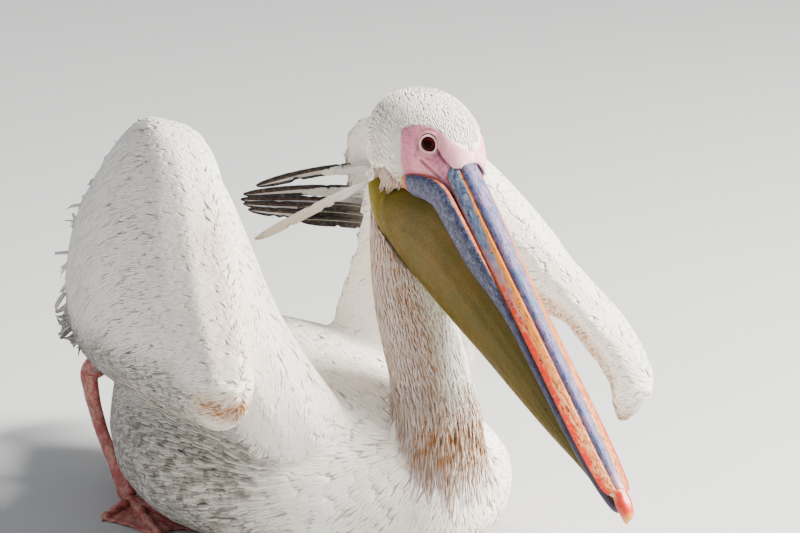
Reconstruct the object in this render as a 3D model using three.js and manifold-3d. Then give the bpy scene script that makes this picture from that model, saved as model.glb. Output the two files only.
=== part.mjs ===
// A great white pelican afloat, life size, as a still museum model resting on its belly.
// It looks along -Y, its left is +X and up is +Z, in millimetres. The origin lies on the flat
// under the belly, below the middle of the back. The wings are half raised: elbows high over
// the back, wrists low beside the breast, and the bill is lowered, with its tip near the
// water line, which would be 88 mm over the flat.

import * as THREE from 'three';
import { mergeVertices } from 'three/addons/utils/BufferGeometryUtils.js';
import Module from 'manifold-3d';

const wasm = await Module();
wasm.setup();

// Driving dimensions
const GAP = 0.35;            // clearance between pieces that meet
const SLIVER = 0.08;         // edges and triangles thinner than this are closed up
const TRUNK_LENGTH = 560;    // breast to rump
const TRUNK_HALF_WIDTH = 164;
const BACK_HEIGHT = 170;     // floor to the top of the back, between the wings
const NECK_RADIUS = 31;      // of the upper neck, in its feathers
const HEAD_HALF_WIDTH = 38;
const HEAD_RIGHT = -34;      // the head is carried a little to the bird's left
const BILL_DIP = 45.8;       // degrees below level
const UPPER_BILL_LENGTH = 362;
const UPPER_BILL_HALF_WIDTH = 18.5;
const BILL_EDGE_DROP = 2.2;   // the upper bill's cutting edge hangs this much lower in the middle
const NAIL_LENGTH = 26;
const RAMUS_HEIGHT = 22;     // one side of the lower bill, at its base
const EYE_RADIUS = 9.5;
const FEATHER_THICKNESS = 2.4;
const RUMP_LEFT = 40;         // the rump is turned this far to the bird's left
const TAIL_LENGTH = 88;         // as it shows beyond the rump
const TAIL_HALF_WIDTH = 72;
const TAIL_THICKNESS = 5;
const TARSUS_RADIUS = 9;
const WEB_THICKNESS = 4;

// Resolution of the faceted surfaces
const TRUNK_SIDES = 20;
const NECK_SIDES = 12;
const EYE_SIDES = 10;
const BILL_SIDES = 12;
const HEAD_SIDES = 16;
const WING_SIDES = 16;
const POUCH_SIDES = 12;

// Colour and roughness of each material.
const COLOURS = {
  plumage: [0xf1ece6, 0.85],
  flight: [0x2a2624, 0.6],
  bill: [0x8f9ab8, 0.45],
  nail: [0xc8452c, 0.4],
  pouch: [0x9a8a2c, 0.5],
  eye: [0x2a0f0c, 0.1],
  foot: [0xc98f86, 0.55],
};

// ---------------------------------------------------------------- places and frames

// A place said the bird's own way: ahead of, to the right of and above the origin.
function at(ahead, right, up) {
  return new THREE.Vector3(-right, -ahead, up);
}

const rad = THREE.MathUtils.degToRad;

// Rows of numbers, read as a smooth curve: t runs from 0 at the first row to 1 at the last.
function along(rows, t) {
  const place = t * (rows.length - 1);
  const i = Math.min(Math.floor(place), rows.length - 2);
  const f = place - i;
  const before = rows[Math.max(i - 1, 0)];
  const after = rows[Math.min(i + 2, rows.length - 1)];
  return rows[i].map((a, k) => {
    const b = rows[i + 1][k];
    const leave = (b - before[k]) / 2;
    const arrive = (after[k] - a) / 2;
    const bend = (2 * f ** 3 - 3 * f ** 2 + 1) * a + (f ** 3 - 2 * f ** 2 + f) * leave;
    return bend + (-2 * f ** 3 + 3 * f ** 2) * b + (f ** 3 - f ** 2) * arrive;
  });
}

// ---------------------------------------------------------------- solids

// A closed body through rings of points, each ring running the same way round.
function loft(rings) {
  const sides = rings[0].length;
  const { position, index } = tube(rings);
  const middle = (ring) => {
    const sum = ring.reduce((a, p) => a.add(p), new THREE.Vector3());
    return sum.divideScalar(ring.length);
  };
  const caps = [middle(rings[0]), middle(rings.at(-1))];
  caps.forEach((p) => position.push(p.x, p.y, p.z));
  const first = rings.length * sides;
  const last = (rings.length - 1) * sides;
  for (let i = 0; i < sides; i += 1) {
    const j = (i + 1) % sides;
    index.push(first, j, i, first + 1, last + i, last + j);
  }
  return closed(position, index);
}

// A closed thin sheet through rings that go out along its face and come back along its back.
function sheetLoft(rings) {
  const sides = rings[0].length;
  const { position, index } = tube(rings);
  const last = (rings.length - 1) * sides;
  for (let i = 0; i < sides / 2 - 1; i += 1) {
    const j = sides - 1 - i;
    index.push(i, j, j - 1, i, j - 1, i + 1);
    index.push(last + i, last + j - 1, last + j, last + i, last + i + 1, last + j - 1);
  }
  return closed(position, index);
}

// The open wall between the first ring and the last.
function tube(rings) {
  const sides = rings[0].length;
  const position = rings.flatMap((ring) => ring.flatMap((p) => [p.x, p.y, p.z]));
  const index = [];
  for (let r = 0; r < rings.length - 1; r += 1) {
    for (let i = 0; i < sides; i += 1) {
      const a = r * sides + i;
      const b = r * sides + (i + 1) % sides;
      index.push(a, b, b + sides, a, b + sides, a + sides);
    }
  }
  return { position, index };
}

// A manifold solid from corner places and triangles, turned right side out.
function closed(position, index) {
  let geometry = new THREE.BufferGeometry();
  geometry.setAttribute('position', new THREE.Float32BufferAttribute(position, 3));
  geometry.setIndex(index);
  geometry = mergeVertices(geometry, 1e-4);
  const places = geometry.attributes.position.array;
  const corners = geometry.index.array;
  if (volume(places, corners) < 0) {
    for (let i = 0; i < corners.length; i += 3) {
      [corners[i + 1], corners[i + 2]] = [corners[i + 2], corners[i + 1]];
    }
  }
  return solid(places, corners);
}

function volume(places, corners) {
  let sum = 0;
  for (let i = 0; i < corners.length; i += 3) {
    const [a, b, c] = [0, 1, 2].map((k) => new THREE.Vector3().fromArray(places, corners[i + k] * 3));
    sum += a.dot(b.cross(c));
  }
  return sum;
}

function solid(places, corners) {
  return new wasm.Manifold(new wasm.Mesh({
    numProp: 3,
    vertProperties: new Float32Array(places),
    triVerts: new Uint32Array(corners),
  }));
}

function fromGeometry(geometry) {
  const bare = geometry.clone();
  bare.deleteAttribute('normal');
  bare.deleteAttribute('uv');
  const merged = mergeVertices(bare, 1e-4);
  return closed(merged.attributes.position.array, Array.from(merged.index.array));
}

function toGeometry(body) {
  const mesh = body.getMesh();
  const geometry = new THREE.BufferGeometry();
  geometry.setAttribute('position', new THREE.Float32BufferAttribute(mesh.vertProperties, 3));
  geometry.setIndex(Array.from(mesh.triVerts));
  return geometry;
}

// The body swollen all over by the clearance, for cutting its neighbours.
function swollen(body, by = GAP) {
  const geometry = toGeometry(body);
  geometry.computeVertexNormals();
  const place = geometry.attributes.position;
  const normal = geometry.attributes.normal;
  for (let i = 0; i < place.count; i += 1) {
    const move = new THREE.Vector3().fromBufferAttribute(normal, i).multiplyScalar(by);
    place.setXYZ(i, place.getX(i) + move.x, place.getY(i) + move.y, place.getZ(i) + move.z);
  }
  return solid(place.array, geometry.index.array);
}

// The body less its neighbours, with the clearance, as one piece without crumbs.
function without(body, ...neighbours) {
  const rest = neighbours.reduce((a, b) => a.subtract(swollen(b)), body);
  return largest(rest);
}

// The largest piece of a body, without the slivers that a cut leaves along its edge.
function largest(body) {
  const pieces = body.simplify(SLIVER).decompose();
  pieces.sort((a, b) => b.volume() - a.volume());
  return pieces[0];
}

// A slab as wide as the whole bird, with its upper face through a point, facing a direction.
function halfSpace(point, facing, size = 1600) {
  const box = new THREE.BoxGeometry(size, size, size);
  box.translate(0, 0, -size / 2);
  const turn = new THREE.Quaternion().setFromUnitVectors(
    new THREE.Vector3(0, 0, 1), facing.clone().normalize());
  box.applyQuaternion(turn);
  box.translate(point.x, point.y, point.z);
  return fromGeometry(box);
}

// An egg-shaped ring: half as wide each way, rising and dropping by different amounts. The
// smaller the power, the fuller the ring's corners.
function egg(centre, across, upward, halfWidth, rise, drop, sides, power = 1, lowPower = power) {
  return Array.from({ length: sides }, (_, i) => {
    const angle = (2 * Math.PI * i) / sides;
    const c = Math.cos(angle);
    const s = Math.sin(angle);
    const round = (v) => Math.sign(v) * Math.abs(v) ** (s > 0 ? power : lowPower);
    return centre.clone()
      .addScaledVector(across, halfWidth * round(c))
      .addScaledVector(upward, (s > 0 ? rise : drop) * round(s));
  });
}

// ---------------------------------------------------------------- trunk, neck and head

const ACROSS = at(0, 1, 0);
const UP = at(0, 0, 1);

// Trunk sections from breast to rump: ahead, right, half width, top, bottom.
const TRUNK = [
  [226, 0, 16, 80, 54],
  [212, 0, 50, 108, 30],
  [170, 4, 98, 132, 12],
  [122, 16, 125, 150, 3],
  [70, 22, 150, 163, -3],
  [0, 22, TRUNK_HALF_WIDTH, BACK_HEIGHT, -5],
  [-70, 12, 158, 173, -5],
  [-140, -2, 138, 170, -3],
  [-210, -16, 106, 161, 12],
  [-270, -30, 74, 150, 38],
  [-318, -RUMP_LEFT, 42, 134, 70],
  [226 - TRUNK_LENGTH, -44, 14, 120, 96],
];

function trunkBody() {
  const count = 16;
  const rings = Array.from({ length: count }, (_, i) => {
    const [ahead, right, half, top, bottom] = along(TRUNK, i / (count - 1));
    const middle = bottom + (top - bottom) * 0.48;
    const centre = at(ahead, right, middle);
    return egg(centre, ACROSS, UP, half, top - middle, middle - bottom, TRUNK_SIDES, 0.94);
  });
  return loft(rings).subtract(halfSpace(at(0, 0, 0), UP));
}

// Neck centres from inside the breast to inside the head: ahead, right, up, radius.
const NECK = [
  [164, 0, 50, 42],
  [186, 0, 88, 42],
  [183, -4, 130, 38],
  [158, -12, 162, 37],
  [133, -18, 195, 36.5],
  [108, -22, 232, 33.5],
  [94, -25, 271, NECK_RADIUS],
  [88, -30, 315, NECK_RADIUS],
  [97, -33, 352, 32],
  [112, HEAD_RIGHT, 380, 30],
];

function neckBody() {
  const count = 14;
  const rings = Array.from({ length: count }, (_, i) => {
    const t = i / (count - 1);
    const [ahead, right, up, radius] = along(NECK, t);
    const [a2, r2, u2] = along(NECK, Math.min(t + 0.02, 1));
    const [a1, r1, u1] = along(NECK, Math.max(t - 0.02, 0));
    const run = at(a2 - a1, r2 - r1, u2 - u1).normalize();
    const forward = new THREE.Vector3().crossVectors(ACROSS, run).normalize();
    return egg(at(ahead, right, up), ACROSS, forward, radius, radius, radius, NECK_SIDES);
  });
  return loft(rings);
}

// Head sections from nape to the root of the bill: ahead, middle height, half width, rise, drop.
const HEAD = [
  [47, 366, 10, 12, 14],
  [56, 369, 24, 26, 31],
  [76, 374, 34, 40, 42],
  [102, 380, HEAD_HALF_WIDTH, 41, 47],
  [130, 382, 37, 38, 50],
  [156, 378, 31, 34, 44],
  [176, 369, 23, 30, 36],
  [186, 362, 16.5, 20, 22],
  [191, 356, 12, 11, 12],
];

function headBody() {
  const count = 13;
  const rings = Array.from({ length: count }, (_, i) => {
    const [ahead, middle, half, rise, drop] = along(HEAD, i / (count - 1));
    return egg(at(ahead, HEAD_RIGHT, middle), ACROSS, UP, half, rise, drop, HEAD_SIDES, 0.92, 0.76);
  });
  return loft(rings);
}

const EYE_PLACE = { ahead: 154, aside: 22, up: 381.6 };
const GAZE = 50;              // degrees that each eye looks aside of straight ahead
// The dish round each eye, and how near its bottom comes to the eye's middle.
const ORBIT = { radius: 16, sides: 14, bottom: 5 };

function eyeMiddle(side) {
  return at(EYE_PLACE.ahead, HEAD_RIGHT + side * EYE_PLACE.aside, EYE_PLACE.up);
}

function sphere(place, radius, sides) {
  const ball = new THREE.SphereGeometry(radius, sides, sides - 3);
  ball.translate(place.x, place.y, place.z);
  return fromGeometry(ball);
}

function orbitBody(side) {
  const gaze = at(Math.cos(rad(GAZE)), side * Math.sin(rad(GAZE)), 0);
  const place = eyeMiddle(side).addScaledVector(gaze, ORBIT.bottom + ORBIT.radius);
  return sphere(place, ORBIT.radius, ORBIT.sides);
}

// ---------------------------------------------------------------- bill and pouch

const BILL_RUN = at(Math.cos(rad(BILL_DIP)), 0, -Math.sin(rad(BILL_DIP)));
const BILL_TOP = at(Math.sin(rad(BILL_DIP)), 0, Math.cos(rad(BILL_DIP)));
const BILL_TIP = at(425, HEAD_RIGHT + 3, 97);
const BILL_ROOT = BILL_TIP.clone().addScaledVector(BILL_RUN, -UPPER_BILL_LENGTH);

// Upper bill sections: share of the length, half width, height over its cutting edge.
const UPPER_BILL = [
  [-0.02, 15, 16],
  [0.03, 17.5, 17.5],
  [0.14, 18, 16.5],
  [0.3, 18, 14],
  [0.48, 18, 11.5],
  [0.66, UPPER_BILL_HALF_WIDTH, 10],
  [0.8, 18, 8.5],
  [0.9, 15.5, 8],
  [1 - NAIL_LENGTH / UPPER_BILL_LENGTH, 12, 8],
];

function upperBillBody() {
  const count = 12;
  const rings = Array.from({ length: count }, (_, i) => {
    const [share, half, height] = along(UPPER_BILL, i / (count - 1));
    const centre = BILL_ROOT.clone().addScaledVector(BILL_RUN, share * UPPER_BILL_LENGTH);
    return egg(centre, ACROSS, BILL_TOP, half, height, BILL_EDGE_DROP, BILL_SIDES, 0.9);
  });
  return loft(rings);
}

// Nail sections: step along the nail, half width, height and drop.
const NAIL = [
  [0, 10, 7.5, 2],
  [7, 8.6, 7.4, 3],
  [15, 7, 6.4, 6],
  [22, 5, 4, 8.5],
  [NAIL_LENGTH, 2.2, 0.5, 9.5],
];

// The nail carries the bill on and turns down over the tip of the lower bill.
function nailBody() {
  const start = UPPER_BILL_LENGTH - NAIL_LENGTH;
  const rings = NAIL.map(([step, half, height, drop]) => {
    const centre = BILL_ROOT.clone().addScaledVector(BILL_RUN, start + GAP + step);
    return egg(centre, ACROSS, BILL_TOP, half, height, drop, BILL_SIDES, 0.9);
  });
  return loft(rings);
}

// One side of the lower bill: ahead, distance aside, top edge, height, half thickness.
const RAMUS = [
  [123, 28, 350, 12, 3],
  [138, 28.5, 354, 19, 4.5],
  [160, 26, 355, RAMUS_HEIGHT, 5.5],
  [181, 24, 349, 24, 5.5],
  [202, 23, 330, 24.5, 5.5],
  [232, 21, 298, 22.5, 5],
  [258, 18.5, 270, 15, 4],
  [285, 17, 240.5, 9.5, 3.6],
  [345, 16, 179, 9, 3.5],
  [388, 12.5, 135, 8.5, 3.5],
  [412, 6, 110, 8, 4],
  [417, 0, 105, 7, 4],
];

function ramusBody(side) {
  const count = 13;
  const rings = Array.from({ length: count }, (_, i) => {
    const t = i / (count - 1);
    const [ahead, aside, top, height, half] = along(RAMUS, t);
    const [a2, , t2] = along(RAMUS, Math.min(t + 0.03, 1));
    const [a1, , t1] = along(RAMUS, Math.max(t - 0.03, 0));
    const run = at(a2 - a1, 0, t2 - t1).normalize();
    const upward = new THREE.Vector3().crossVectors(run, ACROSS).normalize();
    upward.multiplyScalar(Math.sign(upward.z));
    const centre = at(ahead, HEAD_RIGHT + 1.5 + side * aside, top);
    centre.addScaledVector(upward, -2.6 - height / 2);
    return egg(centre, ACROSS, upward, half, height / 2, height / 2, 8, 0.85);
  });
  return loft(rings);
}

// The pouch, from the throat to the tip: upper edge ahead and up, lower edge ahead and up,
// half width at its upper edge and at its fullest.
const POUCH = [
  [86, 343, 74, 330, 33, 36],
  [101, 334, 76, 304, 34, 37.5],
  [122, 334, 92, 278, 33, 37],
  [158, 336, 126, 254, 28, 34.5],
  [186, 329, 153, 237, 25, 33],
  [214, 303, 188, 218, 22, 30],
  [248, 268, 230, 196, 19, 26],
  [288, 231, 275, 171, 17, 22],
  [332, 184, 324, 146, 15.5, 18],
  [372, 143, 367, 126, 12.5, 13.5],
  [404, 111, 400, 103, 7, 7],
];

function pouchBody() {
  const count = 13;
  const rings = Array.from({ length: count }, (_, i) => {
    const [a1, u1, a2, u2, top, full] = along(POUCH, i / (count - 1));
    const upper = at(a1, HEAD_RIGHT + 1.5, u1);
    const lower = at(a2, HEAD_RIGHT + 1.5, u2);
    return Array.from({ length: POUCH_SIDES }, (_unused, k) => {
      const angle = (2 * Math.PI * k) / POUCH_SIDES;
      const depth = (1 - Math.cos(angle)) / 2;
      const width = depth < 0.5 ? THREE.MathUtils.lerp(top, full, depth * 2) : full;
      return upper.clone().lerp(lower, depth)
        .addScaledVector(ACROSS, width * Math.sign(Math.sin(angle)) * Math.abs(Math.sin(angle)) ** 0.7);
    });
  });
  return loft(rings);
}

// ---------------------------------------------------------------- wings

// Both wings are said as the right one. The left is carried further forward and lower, and
// nearer the middle line. Each shift grows outward from the shoulder and with the height.
const SHOULDER = { out: 92, up: 141 };
const LEFT_LEAD = { here: 17, outward: 0.4, upward: -0.29 };
const LEFT_TUCK = { here: 4, outward: 0.02, upward: 0.04 };
const LEFT_DROP = { here: 16, outward: 0.1, upward: 0.06 };

function wingPoint(side, ahead, out, up) {
  if (side > 0) return at(ahead, out, up);
  const shift = ({ here, outward, upward }) => (
    here + outward * (out - SHOULDER.out) + upward * (up - SHOULDER.up));
  return at(ahead + shift(LEFT_LEAD), -(out - shift(LEFT_TUCK)), up - shift(LEFT_DROP));
}

// Thickness of a wing along its chord, 1 at its fullest, with a round nose and a thin tail.
function foil(share) {
  const b = share ** 0.8;
  return (0.2969 * Math.sqrt(b) - 0.126 * b - 0.3516 * b ** 2 + 0.2843 * b ** 3 - 0.1015 * b ** 4) / 0.1;
}

// A level slice of a wing: nose and tail, each ahead and out, half thickness and outward bow.
function wingSlice(side, up, nose, tail, half, bow, droop = 0) {
  const run = new THREE.Vector2(tail[0] - nose[0], tail[1] - nose[1]);
  const face = new THREE.Vector2(-run.y, run.x).normalize();
  if (face.y < 0) face.negate();
  return Array.from({ length: WING_SIDES }, (_, i) => {
    const angle = (2 * Math.PI * i) / WING_SIDES;
    const share = (1 - Math.cos(angle)) / 2;
    const offset = half * foil(share) * Math.sign(Math.sin(angle) + 1e-9) + bow * 4 * share * (1 - share);
    const ahead = nose[0] + run.x * share + face.x * offset;
    const out = nose[1] + run.y * share + face.y * offset;
    return wingPoint(side, ahead, out, up - droop * share ** 1.5);
  });
}

// Forearm slices, elbow to wrist: height, nose ahead and out, tail ahead and out, half
// thickness, outward bow. Below its flight feathers the left one narrows to a strut.
const ELBOW = [
  [388, -12, 147, -62, 140, 14, 0],
  [380, 24, 152, -96, 138, 23, 4],
  [360, 56, 159, -124, 140, 29, 9],
  [334, 80, 167, -146, 146, 31, 14],
  [304, 102, 175, -162, 153, 33, 17],
];
const RIGHT_FOREARM = [
  ...ELBOW,
  [276, 122, 182, -170, 158, 33, 18],
  [246, 146, 190, -172, 161, 33, 18],
  [218, 168, 197, -164, 166, 32, 16],
  [192, 180, 202, -146, 172, 29, 12],
  [172, 174, 200, -110, 180, 24, 8],
  [156, 160, 198, -50, 186, 16, 4],
  [146, 138, 196, 40, 192, 7, 0],
];
const LEFT_FOREARM = [
  ...ELBOW,
  [276, 122, 184, -150, 160, 28, 14],
  [246, 146, 194, 76, 186, 24, 6],
  [218, 168, 200, 110, 192, 20, 3],
  [192, 178, 204, 126, 198, 16, 0],
  [172, 176, 201, 128, 197, 14, 0],
  [155, 162, 198, 130, 196, 10, 0],
  [139, 150, 194, 138, 192, 4, 0],
];

const FOREARM_DROOP = 22;

function forearmBody(side) {
  const count = side > 0 ? 15 : 17;
  const rings = Array.from({ length: count }, (_, i) => {
    const t = i / (count - 1);
    const [up, n1, n2, t1, t2, half, bow] = along(side > 0 ? RIGHT_FOREARM : LEFT_FOREARM, t);
    return wingSlice(side, up, [n1, n2], [t1, t2], half, bow, FOREARM_DROOP * Math.sin(Math.PI * t));
  });
  return loft(rings);
}

// Upper arm slices with the scapular feathers behind, elbow down to shoulder. The last
// number is how far the left shoulder is drawn back, as the bird turns to its left.
const UPPER_ARM = [
  [372, -2, 140, -40, 130, 8, 0, 0],
  [352, 32, 144, -60, 120, 16, 0, 0],
  [322, 62, 148, -76, 110, 22, 0, 0],
  [286, 90, 150, -74, 100, 26, 2, 12],
  [248, 112, 148, -86, 92, 31, 4, 38],
  [212, 132, 142, -104, 84, 38, 4, 84],
  [176, 148, 130, -112, 76, 47, 4, 130],
  [142, 156, 112, -84, 70, 50, 2, 136],
  [112, 148, 96, -40, 64, 42, 0, 130],
];
const LEFT_SCAPULARS_SHORT = 26;   // how much shorter the left ones are

function upperArmBody(side) {
  const count = 12;
  const rings = Array.from({ length: count }, (_, i) => {
    const [up, n1, n2, t1, t2, half, bow, back] = along(UPPER_ARM, i / (count - 1));
    const nose = side > 0 ? n1 : n1 - back;
    const tail = side > 0 ? t1 : t1 + LEFT_SCAPULARS_SHORT;
    return wingSlice(side, up, [nose, n2], [tail, t2], half, bow);
  });
  return loft(rings);
}

// ---------------------------------------------------------------- flight feathers

// A row of overlapping feathers as one thin closed sheet with a notch between tips.
// root and tip give the row's two long edges for u from 0 to 1.
function featherRow({ root, tip, count, notch, bow, thickness = FEATHER_THICKNESS, steps = 3 }) {
  const columns = 2 * count;
  const place = (u, v) => {
    const start = root(u);
    const end = tip(u);
    const side = new THREE.Vector3().crossVectors(
      end.clone().sub(start), root(Math.min(u + 0.05, 1)).sub(root(Math.max(u - 0.05, 0)))).normalize();
    return start.lerp(end, v).addScaledVector(side, bow * 4 * v * (1 - v));
  };
  const sheet = [];
  for (let c = 0; c <= columns; c += 1) {
    const u = c / columns;
    const between = c % 2 === 0;
    const reach = between ? 1 - notch : 1;
    sheet.push(Array.from({ length: steps + 1 }, (_, s) => ({ u, v: (reach * s) / steps })));
  }
  const normal = (u, v) => {
    const du = place(Math.min(u + 0.02, 1), v).sub(place(Math.max(u - 0.02, 0), v));
    const dv = place(u, v + 0.02).sub(place(u, v - 0.02));
    return du.cross(dv).normalize();
  };
  const rings = sheet.map((column) => {
    const front = column.map(({ u, v }) => place(u, v).addScaledVector(normal(u, v), thickness / 2));
    const back = column.map(({ u, v }) => place(u, v).addScaledVector(normal(u, v), -thickness / 2));
    return [...front, ...back.reverse()];
  });
  return sheetLoft(rings);
}

// The rump lies to the left, and the feathers that reach it follow it there.
function sway(ahead) {
  return RUMP_LEFT * THREE.MathUtils.clamp((-ahead - 210) / 100, 0, 1);
}

const between = (rows, side) => (u) => {
  const [ahead, out, up] = along(rows, u);
  return wingPoint(side, ahead, out, up).addScaledVector(ACROSS, -sway(ahead));
};

// Roots and tips of each group of flight feathers: ahead, out, up. On the left, the hand's
// feathers are folded up behind the forearm, into one fan with the others.
const FLIGHT = {
  tertials: {
    notch: 0.3,
    bow: 6,
    right: {
      roots: [[-20, 120, 346], [-34, 114, 322], [-40, 108, 298]],
      tips: [[-142, 54, 278], [-160, 50, 262], [-152, 54, 240]],
      count: 4,
    },
    left: {
      roots: [[-36, 111, 332], [-38, 110, 325], [-40, 109, 318]],
      tips: [[-150, 58, 253], [-152, 58, 247], [-150, 60, 242]],
      count: 1,
    },
  },
  secondaries: {
    notch: 0.08,
    bow: 8,
    right: {
      roots: [[-86, 142, 342], [-100, 146, 304], [-100, 150, 270], [-76, 158, 240]],
      tips: [[-176, 86, 294], [-196, 76, 282], [-202, 72, 272], [-194, 76, 262]],
      count: 8,
    },
    left: {
      roots: [[-86, 142, 342], [-100, 146, 304], [-98, 148, 288], [-88, 150, 274]],
      tips: [[-176, 86, 298], [-194, 76, 282], [-192, 74, 275], [-186, 76, 268]],
      count: 8,
    },
  },
  primaries: {
    notch: 0.05,
    bow: 9,
    right: {
      roots: [[78, 176, 184], [38, 174, 171], [-2, 168, 159]],
      tips: [[-290, 84, 166], [-312, 70, 156], [-318, 58, 146]],
      count: 6,
    },
    left: {
      roots: [[-60, 134, 292], [-64, 132, 284], [-66, 130, 276]],
      tips: [[-128, 92, 284], [-138, 90, 277], [-130, 92, 268]],
      count: 3,
    },
  },
};

function flightRow(side, name) {
  const { notch, bow } = FLIGHT[name];
  const { roots, tips, count } = side > 0 ? FLIGHT[name].right : FLIGHT[name].left;
  return featherRow({
    root: between(roots, side),
    tip: between(tips, side),
    count,
    notch,
    bow: bow * side,
  });
}

function tailBody() {
  const root = (u) => at(-300, -38 + (u - 0.5) * 70, 122 - 30 * (u - 0.5) ** 2);
  const tip = (u) => {
    const fan = (u - 0.5) * 2;
    const reach = TAIL_LENGTH * (1 - 0.12 * fan ** 2);
    return at(-300 - reach, -52 + fan * TAIL_HALF_WIDTH, 112 - 16 * fan ** 2);
  };
  return featherRow({ root, tip, count: 7, notch: 0.08, bow: 3, thickness: TAIL_THICKNESS });
}

// ---------------------------------------------------------------- legs and feet

// The leg leaves the rear flank, turns down at the heel and stands on its flat foot: ahead,
// out, up and girth.
const TARSUS = [
  [-186, 104, 112, 0.9],
  [-216, 114, 120, 0.95],
  [-239, 121, 112, 1.25],
  [-234, 125, 94, 1],
  [-213, 128, 62, 0.82],
  [-190, 128, 34, 0.86],
  [-172, 128, 14, 1.2],
  [-166, 128, 7, 1],
];

function tarsusBody(side) {
  const rings = TARSUS.map(([ahead, out, up, girth], i) => {
    const next = TARSUS[Math.min(i + 1, TARSUS.length - 1)];
    const last = TARSUS[Math.max(i - 1, 0)];
    const run = at(next[0] - last[0], 0, next[2] - last[2]).normalize();
    const forward = new THREE.Vector3().crossVectors(ACROSS, run).normalize();
    const radius = TARSUS_RADIUS * girth;
    const centre = at(ahead, footRight(side, out), up);
    return egg(centre, ACROSS, forward, radius * 0.75, radius, radius, 10);
  });
  return loft(rings).subtract(halfSpace(at(0, 0, 0), UP));
}

// The legs stand on either side of the trunk's middle line there, which lies to the left.
function footRight(side, out) {
  return side * (out - 20) - 10;
}

// Toes in the foot's own plane: length, angle from straight ahead, in degrees.
const TOES = [[118, -26], [136, -3], [126, 20], [62, 58]];

function footBody(side) {
  const tips = TOES.map(([length, angle]) => new THREE.Vector2(
    length * Math.sin(rad(-angle)) * side, length * Math.cos(rad(angle))));
  const outline = new THREE.Shape();
  outline.moveTo(8 * side, -10);
  tips.forEach((p, i) => {
    if (i === 0) outline.lineTo(p.x, p.y);
    if (i === 0) return;
    const edge = tips[i - 1].clone().add(p).multiplyScalar(0.42);
    outline.quadraticCurveTo(edge.x, edge.y, p.x, p.y);
  });
  outline.lineTo(-8 * side, -12);
  outline.closePath();
  const web = new THREE.ExtrudeGeometry(
    outline, { depth: WEB_THICKNESS, bevelEnabled: false, curveSegments: 4 });
  let body = fromGeometry(web);
  for (const p of tips) {
    const length = p.length();
    const toe = new THREE.CylinderGeometry(2.6, 5.2, length, 7);
    toe.translate(0, length / 2, 0);
    toe.rotateZ(Math.atan2(-p.x, p.y));
    toe.translate(0, 0, 3.2);
    body = body.add(fromGeometry(toe));
  }
  const geometry = toGeometry(body);
  geometry.rotateZ(Math.PI);
  const place = at(-164, footRight(side, 128), 0);
  geometry.translate(place.x, place.y, 0);
  return closed(geometry.attributes.position.array, Array.from(geometry.index.array))
    .subtract(halfSpace(at(0, 0, 0), UP));
}

// ---------------------------------------------------------------- the whole bird

const bird = new THREE.Group();

function addNode(name, colour, body) {
  const [hex, roughness] = COLOURS[colour];
  const material = new THREE.MeshStandardMaterial({ color: hex, roughness, metalness: 0 });
  const mesh = new THREE.Mesh(toGeometry(body), material);
  mesh.name = name;
  bird.add(mesh);
  return body;
}

const RIGHT = 1;
const LEFT = -1;
const SIDES = [[RIGHT, 'right'], [LEFT, 'left']];

// The bill first, as the face closes round it, then the face, the neck and the trunk.
const nail = nailBody();
const upperBill = upperBillBody();
const lowerBill = without(ramusBody(RIGHT).add(ramusBody(LEFT)), upperBill, nail);
const pouch = without(pouchBody(), upperBill, lowerBill, nail);
const eyes = SIDES.map(([side]) => sphere(eyeMiddle(side), EYE_RADIUS, EYE_SIDES));
const orbits = SIDES.map(([side]) => orbitBody(side));
const head = without(headBody(), upperBill, lowerBill, pouch, ...eyes, ...orbits);
const trunk = trunkBody();
const neck = without(neckBody(), head, pouch, trunk);
const NECK_JOINT = at(133, -15, 195);
const lowHalf = halfSpace(NECK_JOINT, UP);

addNode('bill_upper', 'bill', upperBill);
addNode('bill_nail', 'nail', nail);
addNode('bill_lower', 'bill', lowerBill);
addNode('pouch', 'pouch', pouch);
SIDES.forEach(([, name], i) => addNode(`eye_${name}`, 'eye', eyes[i]));
addNode('head', 'plumage', head);
addNode('neck_upper', 'plumage', without(neck, lowHalf));
addNode('neck_lower', 'plumage', largest(neck.intersect(lowHalf)));

const tail = without(tailBody(), trunk);
addNode('tail', 'plumage', tail);

const taken = [trunk, neck, tail];

for (const [side, name] of SIDES) {
  const arm = without(upperArmBody(side), trunk, neck);
  const wing = without(forearmBody(side), arm, trunk);
  const wristCut = wingPoint(side, 60, 190, 186);
  const below = halfSpace(wristCut, at(-0.1, 0, 1));
  const hand = largest(wing.intersect(below));
  const forearm = without(wing, below);
  const primaries = without(flightRow(side, 'primaries'), wing, arm, ...taken);
  const secondaries = without(flightRow(side, 'secondaries'), wing, arm, primaries, ...taken);
  const tertials = without(flightRow(side, 'tertials'), wing, arm, secondaries, primaries, ...taken);
  const foot = footBody(side);
  const leg = without(tarsusBody(side), foot, trunk);
  addNode(`upper_arm_${name}`, 'plumage', arm);
  addNode(`forearm_${name}`, 'plumage', forearm);
  addNode(`hand_${name}`, 'plumage', hand);
  addNode(`primaries_${name}`, 'flight', primaries);
  addNode(`secondaries_${name}`, 'flight', secondaries);
  addNode(`tertials_${name}`, 'flight', tertials);
  addNode(`leg_${name}`, 'foot', leg);
  addNode(`foot_${name}`, 'foot', without(foot, trunk));
  taken.push(primaries, secondaries, tertials);
}

addNode('trunk', 'plumage', trunk);

export default bird;
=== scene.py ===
import math
from functools import partial

import bmesh
import bpy
import numpy as np
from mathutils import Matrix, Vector
from mathutils.bvhtree import BVHTree


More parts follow.
